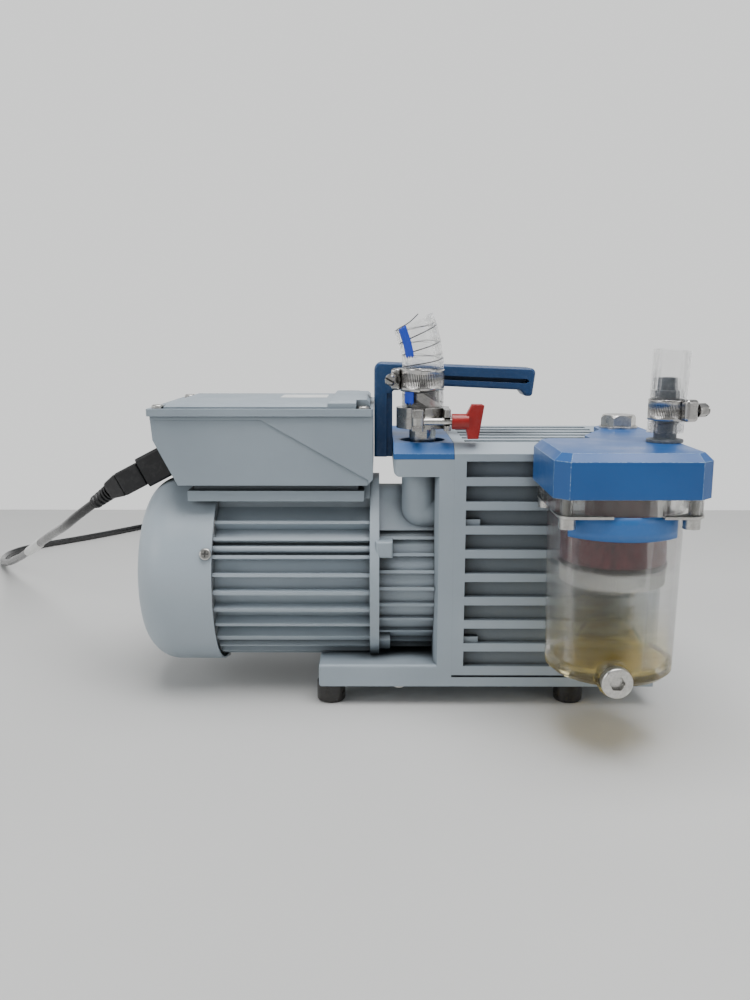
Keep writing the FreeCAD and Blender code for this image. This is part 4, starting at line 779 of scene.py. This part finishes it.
def hose_clamp(node, centre, radius, low, high, lap, worm):
    """Clamp standing for its CAD node: slotted band, its lap over itself, housing and screw.

    The lap gives its first angle, its span and how far it stands past the band above and below.
    The worm gives its angle and its reach along the screw in millimetres.
    """
    belt = band(node + "_band", centre, radius, low, high, 0, 2 * math.pi)
    finish(belt, "stainless", node, 40)
    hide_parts(node)
    start, span, rise = lap
    over = band(
        node + "_lap", centre, radius + LAP_STAND_OFF, low - rise, high + rise,
        math.radians(start), math.radians(span),
    )
    finish(over, "stainless", node, 40)
    angle, reach = worm
    worm_drive(
        node, centre, radius, high - low + HOUSING_OVERHANG, (low + high) / 2, math.radians(angle), reach,
    )


# ---------------------------------------------------------------- exhaust hose, filter and pot

NOZZLE = Vector((128.6 * MM, -93.2 * MM, 0))
POT = Vector((95 * MM, -110 * MM, 0))
POT_RADIUS_LOW = 39  # millimetres, at the foot of the pot's wall
POT_FOOT = 49.5
POT_HEIGHT = 101.1
POT_TAPER = 2
LABEL_STAND_OFF = 0.14
LABEL_LEVELS = (135.6, 140.5, 145.4, 150.2)
LABEL_THICKNESS = 0.1 * MM
CAP_RADIUS = 32.0
CAP_TEETH = 120
CAP_LEVELS = ((103.0, -1.0), (103.7, 0.0), (112.6, 0.0), (113.4, -1.0))  # height and inset


def build_outlet_hose():
    """Short clear hose on the barbed nozzle, leaning a little to the right."""
    rows, columns = 40, 64
    foot, top = 193.2 * MM, 244.2 * MM
    lean = math.tan(math.radians(2.2))
    shape = bmesh.new()
    walls = []
    for base_radius in (11.2 * MM, 8.7 * MM):
        wall = []
        for i in range(rows + 1):
            ring = []
            for j in range(columns):
                angle = 2 * math.pi * j / columns
                z = foot + (top - foot) * i / rows
                if i == rows:
                    z -= 0.9 * MM * math.cos(angle - 0.3) + 0.5 * MM
                pinch = 0.5 * MM * math.exp(-((z - 207 * MM) / (8 * MM)) ** 2)
                flare = 0.2 * MM * (z - 215 * MM) / (29 * MM) if z > 215 * MM else 0.0
                r = base_radius - pinch + flare
                x = NOZZLE.x + lean * (z - 195 * MM) + r * math.cos(angle)
                ring.append(shape.verts.new((x, NOZZLE.y + r * math.sin(angle), z)))
            wall.append(ring)
        walls.append(wall)
    skin_hose(shape, *walls)
    hose = from_bmesh("outlet_hose_wall", shape)
    finish(hose, "hose", "outlet_hose", 45)
    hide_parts("outlet_hose")


def build_element_cap():
    """Clear cap with a knurled rim under the filter element, and its long stud."""
    shape = bmesh.new()
    rings = []
    for z, inset in CAP_LEVELS:
        ring = []
        for j in range(2 * CAP_TEETH):
            angle = math.pi * j / CAP_TEETH
            r = CAP_RADIUS + inset - (1.0 if j % 2 and inset == 0 else 0.0)
            ring.append(shape.verts.new(POT + Vector((r * math.cos(angle), r * math.sin(angle), z)) * MM))
        rings.append(ring)
    skin(shape, rings)
    shape.faces.new(rings[0])
    shape.faces.new(rings[-1])
    cap = from_bmesh("element_cap_rim", shape)
    finish(cap, "cap", "element_cap", 25)
    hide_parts("element_cap")
    stud_shape = bmesh.new()
    rod_shape(stud_shape, POT + Vector((0, 0, 113.6 * MM)), POT + Vector((0, 0, 179 * MM)), 3.0 * MM)
    rod_shape(stud_shape, POT + Vector((0, 0, 97.5 * MM)), POT + Vector((0, 0, 102.9 * MM)), 6.2 * MM, 6)
    eased(stud_shape, 0.3 * MM)
    finish(from_bmesh("element_stud", stud_shape), "zinc", "element_cap", 35)


def build_pot_label():
    """Plain blue film round the front of the pot, just under its flange."""
    shape = bmesh.new()
    columns = 48
    start, end = math.radians(215.5), math.radians(318)
    grid = []
    for i in range(columns + 1):
        angle = start + (end - start) * i / columns
        column = []
        for z in LABEL_LEVELS:
            r = POT_RADIUS_LOW + POT_TAPER * (z - POT_FOOT) / POT_HEIGHT + LABEL_STAND_OFF
            column.append(shape.verts.new(POT + Vector((r * math.cos(angle), r * math.sin(angle), z)) * MM))
        grid.append(column)
    for first, second in zip(grid, grid[1:]):
        for j in range(len(LABEL_LEVELS) - 1):
            shape.faces.new((first[j], second[j], second[j + 1], first[j + 1]))
    label = thickened(from_bmesh("pot_label", shape), LABEL_THICKNESS)
    finish(label, "label", "catch_pot", 60)


def build_pot_oil():
    """Thin film of oil left in the bottom of the pot."""
    shape = bmesh.new()
    floor = POT + Vector((0, 0, 52.15 * MM))
    surface = POT + Vector((0, 0, 53.3 * MM))
    rod_shape(shape, floor, surface, 32.2 * MM, 72, 33.2 * MM)
    oil = from_bmesh("pot_oil_film", shape)
    finish(oil, "oil", "catch_pot", 40)


def build_lid_sticker():
    """Plain white sticker on the terminal box's lid."""
    shape = bmesh.new()
    box_shape(shape, (-122 * MM, 6 * MM, 207.65 * MM), (-88 * MM, 36 * MM, 207.82 * MM))
    eased(shape, 0.05 * MM, 1)
    finish(from_bmesh("lid_sticker", shape), "sticker", "terminal_box_lid", 40)


# ---------------------------------------------------------------- mains lead

CORD_DIAMETER = 7 * MM
CORD_ROUTE = (
    (-0.2610, 0.0040, 0.1300), (-0.2775, 0.0095, 0.1185), (-0.2940, 0.0280, 0.1060),
    (-0.3170, 0.0660, 0.0925), (-0.3480, 0.1170, 0.0725), (-0.3820, 0.1760, 0.0505),
    (-0.4180, 0.2350, 0.0280), (-0.4500, 0.2850, 0.0105), (-0.4720, 0.3220, 0.0040),
    (-0.4790, 0.3620, 0.0035), (-0.4600, 0.3970, 0.0035), (-0.4250, 0.4300, 0.0035),
    (-0.3910, 0.4690, 0.0035), (-0.3640, 0.5040, 0.0035),
)
COIL_CENTRE = Vector((-0.306, 0.507, 0))
COIL_CELLS = ((42, 3.6), (35, 3.6), (35, 10.6), (42, 10.6), (41.5, 17.4))  # radius and height
COIL_START = math.radians(149)
COIL_END = math.radians(98)
COIL_STEPS = 16
PLUG_END = Vector((-0.272, 0.549, 0.0105))
BLADE_OFFSET = 6.35 * MM
SLEEVE_START = 0.150
SLEEVE_END = 0.235
SLEEVE_RADIUS = 4.15 * MM


def coil_points():
    """Turns of the put-away lead, wound clockwise, each turn settling into its own cell of the ring."""
    sweep = 2 * math.pi * len(COIL_CELLS) + COIL_START - COIL_END
    count = int(COIL_STEPS * sweep / (2 * math.pi))
    points = []
    for i in range(count + 1):
        turned = sweep * i / count
        place = min(turned / (2 * math.pi), len(COIL_CELLS) - 0.001)
        cell = int(place)
        part = place - cell
        here = Vector(COIL_CELLS[cell])
        after = Vector(COIL_CELLS[min(cell + 1, len(COIL_CELLS) - 1)])
        blend = min(max((part - 0.75) / 0.25, 0), 1)
        radius, height = here.lerp(after, blend * blend * (3 - 2 * blend))
        angle = COIL_START - turned
        points.append(COIL_CENTRE + Vector((radius * math.cos(angle), radius * math.sin(angle), height)) * MM)
    return points


def curve_line(obj):
    """Points along a curve's own smooth line."""
    bare = obj.copy()
    bare.data = obj.data.copy()
    bare.data.bevel_depth = 0
    bpy.context.scene.collection.objects.link(bare)
    bpy.context.view_layer.update()
    mesh = bpy.data.meshes.new_from_object(bare.evaluated_get(bpy.context.evaluated_depsgraph_get()))
    points = [vertex.co.copy() for vertex in mesh.vertices]
    bpy.data.objects.remove(bare)
    bpy.data.meshes.remove(mesh)
    return points


def build_cord():
    route = [Vector(point) for point in CORD_ROUTE]
    tail = [PLUG_END + Vector((-0.016, 0, 0.0030)), PLUG_END]
    cord = nurbs_curve("mains_lead", route + coil_points() + tail, CORD_DIAMETER / 2, 10, 6)
    cord.data.materials.append(MATERIALS["cord"])
    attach(cord, "root")
    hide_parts("mains_cord", "cord_coil")
    line = curve_line(cord)
    sleeve = build_sleeve(line)
    connector = build_connector(route[0], (route[1] - route[0]).normalized())
    plug = build_plug()


def build_sleeve(line):
    """White shrink sleeve on the lead's first drop."""
    travelled = 0.0
    path = []
    for before, after in zip(line, line[1:]):
        if SLEEVE_START <= travelled <= SLEEVE_END:
            path.append(before)
        travelled += (after - before).length
    last = len(path) - 1
    radii = [
        SLEEVE_RADIUS + 0.10 * MM * math.sin(i * 1.9) - (0.5 * MM if i in (0, last) else 0.0)
        for i in range(len(path))
    ]
    sleeve = ring_tube("lead_sleeve", path, radii, 32)
    finish(sleeve, "sleeve", "mains_cord", 50)
    return sleeve


# Z of this frame points out of the appliance inlet, square to the box's slanted wall.
INLET = Matrix.Translation((-193.9 * MM, 0, 168.4 * MM)) @ Matrix.Rotation(math.radians(-117.5), 4, "Y")
RELIEF_STEP = 5  # samples from one rib of a strain relief to the next
RELIEF_RAISED = (1, 2, 3)
RELIEF_SAMPLES = 8 * RELIEF_STEP


def build_connector(exit_point, along):
    """Moulded appliance connector: grip body, waist, and ribbed strain relief down to the lead."""
    shape = bmesh.new()
    box_shape(shape, Vector((-8.2, -12.1, 15)) * MM, Vector((8.2, 12.1, 31)) * MM, INLET)
    box_shape(shape, Vector((-9, -13.5, 30.7)) * MM, Vector((9, 13.5, 49)) * MM, INLET)
    rear = bmesh.ops.create_cube(shape, size=1)["verts"]
    for vertex in rear:
        low = vertex.co.z < 0
        half_x = 9.0 if low else 6.2
        half_y = 13.3 if low else 7.5
        z = 48.9 if low else 61.5
        local = Vector((math.copysign(half_x, vertex.co.x), math.copysign(half_y, vertex.co.y), z)) * MM
        vertex.co = INLET @ local
    eased(shape, 1.5 * MM, 3)
    body = from_bmesh("connector_body", shape)
    finish(body, "black", "mains_connector", 50)
    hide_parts("mains_connector")
    weighted(body)
    start = INLET @ (Vector((0, 0, 58)) * MM)
    path = []
    radii = []
    bend = exit_point - along * 18 * MM
    for i in range(RELIEF_SAMPLES + 1):
        t = i / RELIEF_SAMPLES
        point = start.lerp(bend, t).lerp(bend.lerp(exit_point + along * 1.5 * MM, t), t)
        path.append(point)
        raised = i % RELIEF_STEP in RELIEF_RAISED
        radii.append((6.9 - 1.9 * t) * MM if raised or t < 0.2 else (4.7 - 0.5 * t) * MM)
    relief = ring_tube("connector_relief", path, radii, 36)
    finish(relief, "black", "mains_connector", 32)
    relief.parent = body
    relief.matrix_parent_inverse = Matrix.Identity(4)
    return body


def build_plug():
    """Moulded plug with two flat blades and a round earth pin, lying beside the coil."""
    x, y, z = PLUG_END
    shape = bmesh.new()
    half_y, half_z = 12.3 * MM, 10.2 * MM
    box_shape(shape, (x + 23 * MM, y - half_y, z - half_z), (x + 56 * MM, y + half_y, z + half_z))
    for i in range(4):
        low = x + (29 + 5.5 * i) * MM
        box_shape(shape, (low, y - 12.5 * MM, z - 7 * MM), (low + 2.6 * MM, y + 12.5 * MM, z + 7 * MM))
    eased(shape, 1.0 * MM, 3)
    body = from_bmesh("plug_body", shape)
    finish(body, "black", "mains_plug", 50)
    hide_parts("mains_plug")
    weighted(body)
    path = []
    radii = []
    for i in range(RELIEF_SAMPLES + 1):
        path.append(Vector((x - 1.5 * MM + 26 * MM * i / RELIEF_SAMPLES, y, z)))
        raised = i % RELIEF_STEP in RELIEF_RAISED
        radii.append((4.4 + 1.9 * i / RELIEF_SAMPLES) * MM if raised else 4.1 * MM)
    relief = ring_tube("plug_relief", path, radii, 32)
    finish(relief, "black", "mains_plug", 32)
    pins_shape = bmesh.new()
    for side in (-1, 1):
        low = y + side * BLADE_OFFSET - 0.75 * MM
        box_shape(pins_shape, (x + 54 * MM, low, z - 1 * MM), (x + 73 * MM, low + 1.5 * MM, z + 5.3 * MM))
    rod_shape(pins_shape, (x + 54 * MM, y, z - 6 * MM), (x + 76 * MM, y, z - 6 * MM), 2.35 * MM)
    eased(pins_shape, 0.3 * MM)
    pins = from_bmesh("plug_pins", pins_shape)
    finish(pins, "zinc", "mains_plug", 40)
    for part in (relief, pins):
        part.parent = body
        part.matrix_parent_inverse = Matrix.Identity(4)
    return body


# ---------------------------------------------------------------- stage

def build_floor():
    """Pale tabletop, its far edge a little behind the pump's coiled lead."""
    mesh = bpy.data.meshes.new("floor")
    side, front, back = 1.7, -1.7, 0.64
    mesh.from_pydata(
        [(-side, front, 0), (side, front, 0), (side, back, 0), (-side, back, 0)], [], [(0, 1, 2, 3)],
    )
    floor = bpy.data.objects.new("floor", mesh)
    bpy.context.scene.collection.objects.link(floor)
    material, tree, shader = shader_tree("pale_floor", Roughness=0.55)
    colour = ramp(tree, noise(tree, 3, 3), (0.3, (0.56, 0.56, 0.55, 1)), (0.7, (0.60, 0.60, 0.59, 1)))
    tree.links.new(colour, shader.inputs["Base Color"])
    mesh.materials.append(material)


def build_world():
    """Bright wall all round at eye height, a dimmer dome above, and a dim room towards the viewer."""
    world = bpy.data.worlds.new("studio")
    world.use_nodes = True
    tree = world.node_tree
    split = add(tree, "ShaderNodeSeparateXYZ")
    tree.links.new(add(tree, "ShaderNodeTexCoord").outputs["Generated"], split.inputs[0])
    wall = (1.12, 1.13, 1.12, 1)
    dome = (0.40, 0.41, 0.42, 1)
    sky = ramp(tree, split.outputs["Z"], (0.0, wall), (0.34, wall), (0.50, dome))
    depth = add(tree, "ShaderNodeMapRange")
    for socket, value in (("From Min", -0.7), ("From Max", 0.3), ("To Min", 0.36), ("To Max", 1.0)):
        depth.inputs[socket].default_value = value
    tree.links.new(split.outputs["Y"], depth.inputs["Value"])
    room = mix(tree, 1.0, sky, depth.outputs["Result"], "MULTIPLY")
    tree.links.new(room, tree.nodes["Background"].inputs["Color"])
    tree.nodes["Background"].inputs["Strength"].default_value = 1.0
    bpy.context.scene.world = world


def build_lights():
    for name, place, target, size, power in (
        ("ceiling", (0.1, -0.3, 1.7), (0, 0, 0.1), 1.3, 40),
        ("left_window", (-1.6, -0.9, 0.9), (-0.1, 0, 0.12), 0.8, 8),
        ("right_fill", (1.5, -1.1, 0.8), (0.1, 0, 0.12), 0.9, 5),
    ):
        lamp = bpy.data.lights.new(name, "AREA")
        lamp.shape = "SQUARE"
        lamp.size = size
        lamp.energy = power
        light = bpy.data.objects.new(name, lamp)
        light.location = place
        light.rotation_euler = (Vector(target) - Vector(place)).to_track_quat("-Z", "Y").to_euler()
        bpy.context.scene.collection.objects.link(light)


def build_camera():
    """Camera in front of the pump, looking slightly down on it."""
    lens = bpy.data.cameras.new("camera")
    lens.sensor_width = 36
    lens.lens = 32.349
    camera = bpy.data.objects.new("camera", lens)
    camera.location = (-0.04987, -0.65296, 0.25305)
    camera.rotation_euler = (math.radians(90 - 10.444), 0, math.radians(0.2526))
    bpy.context.scene.collection.objects.link(camera)
    bpy.context.scene.camera = camera


build_floor()
build_world()
build_lights()
build_camera()
build_cord()
build_metalwork()
build_inlet_tubes()
build_inlet_hose()
build_outlet_hose()
hose_clamp(
    "inlet_hose_clamp", PORT, 13.75 * MM, 216.1 * MM, 230 * MM,
    lap=(186, 74, 0.9 * MM), worm=(157, (-6, 8.5, 18.3)),
)
hose_clamp(
    "outlet_hose_clamp", NOZZLE + Vector((0.4 * MM, 0, 0)), 10.9 * MM, 201 * MM, 213.6 * MM,
    lap=(215, 48, 0.2 * MM), worm=(295, (0, 9.5, 18.8)),
)
build_element_cap()
build_pot_label()
build_pot_oil()
build_lid_sticker()
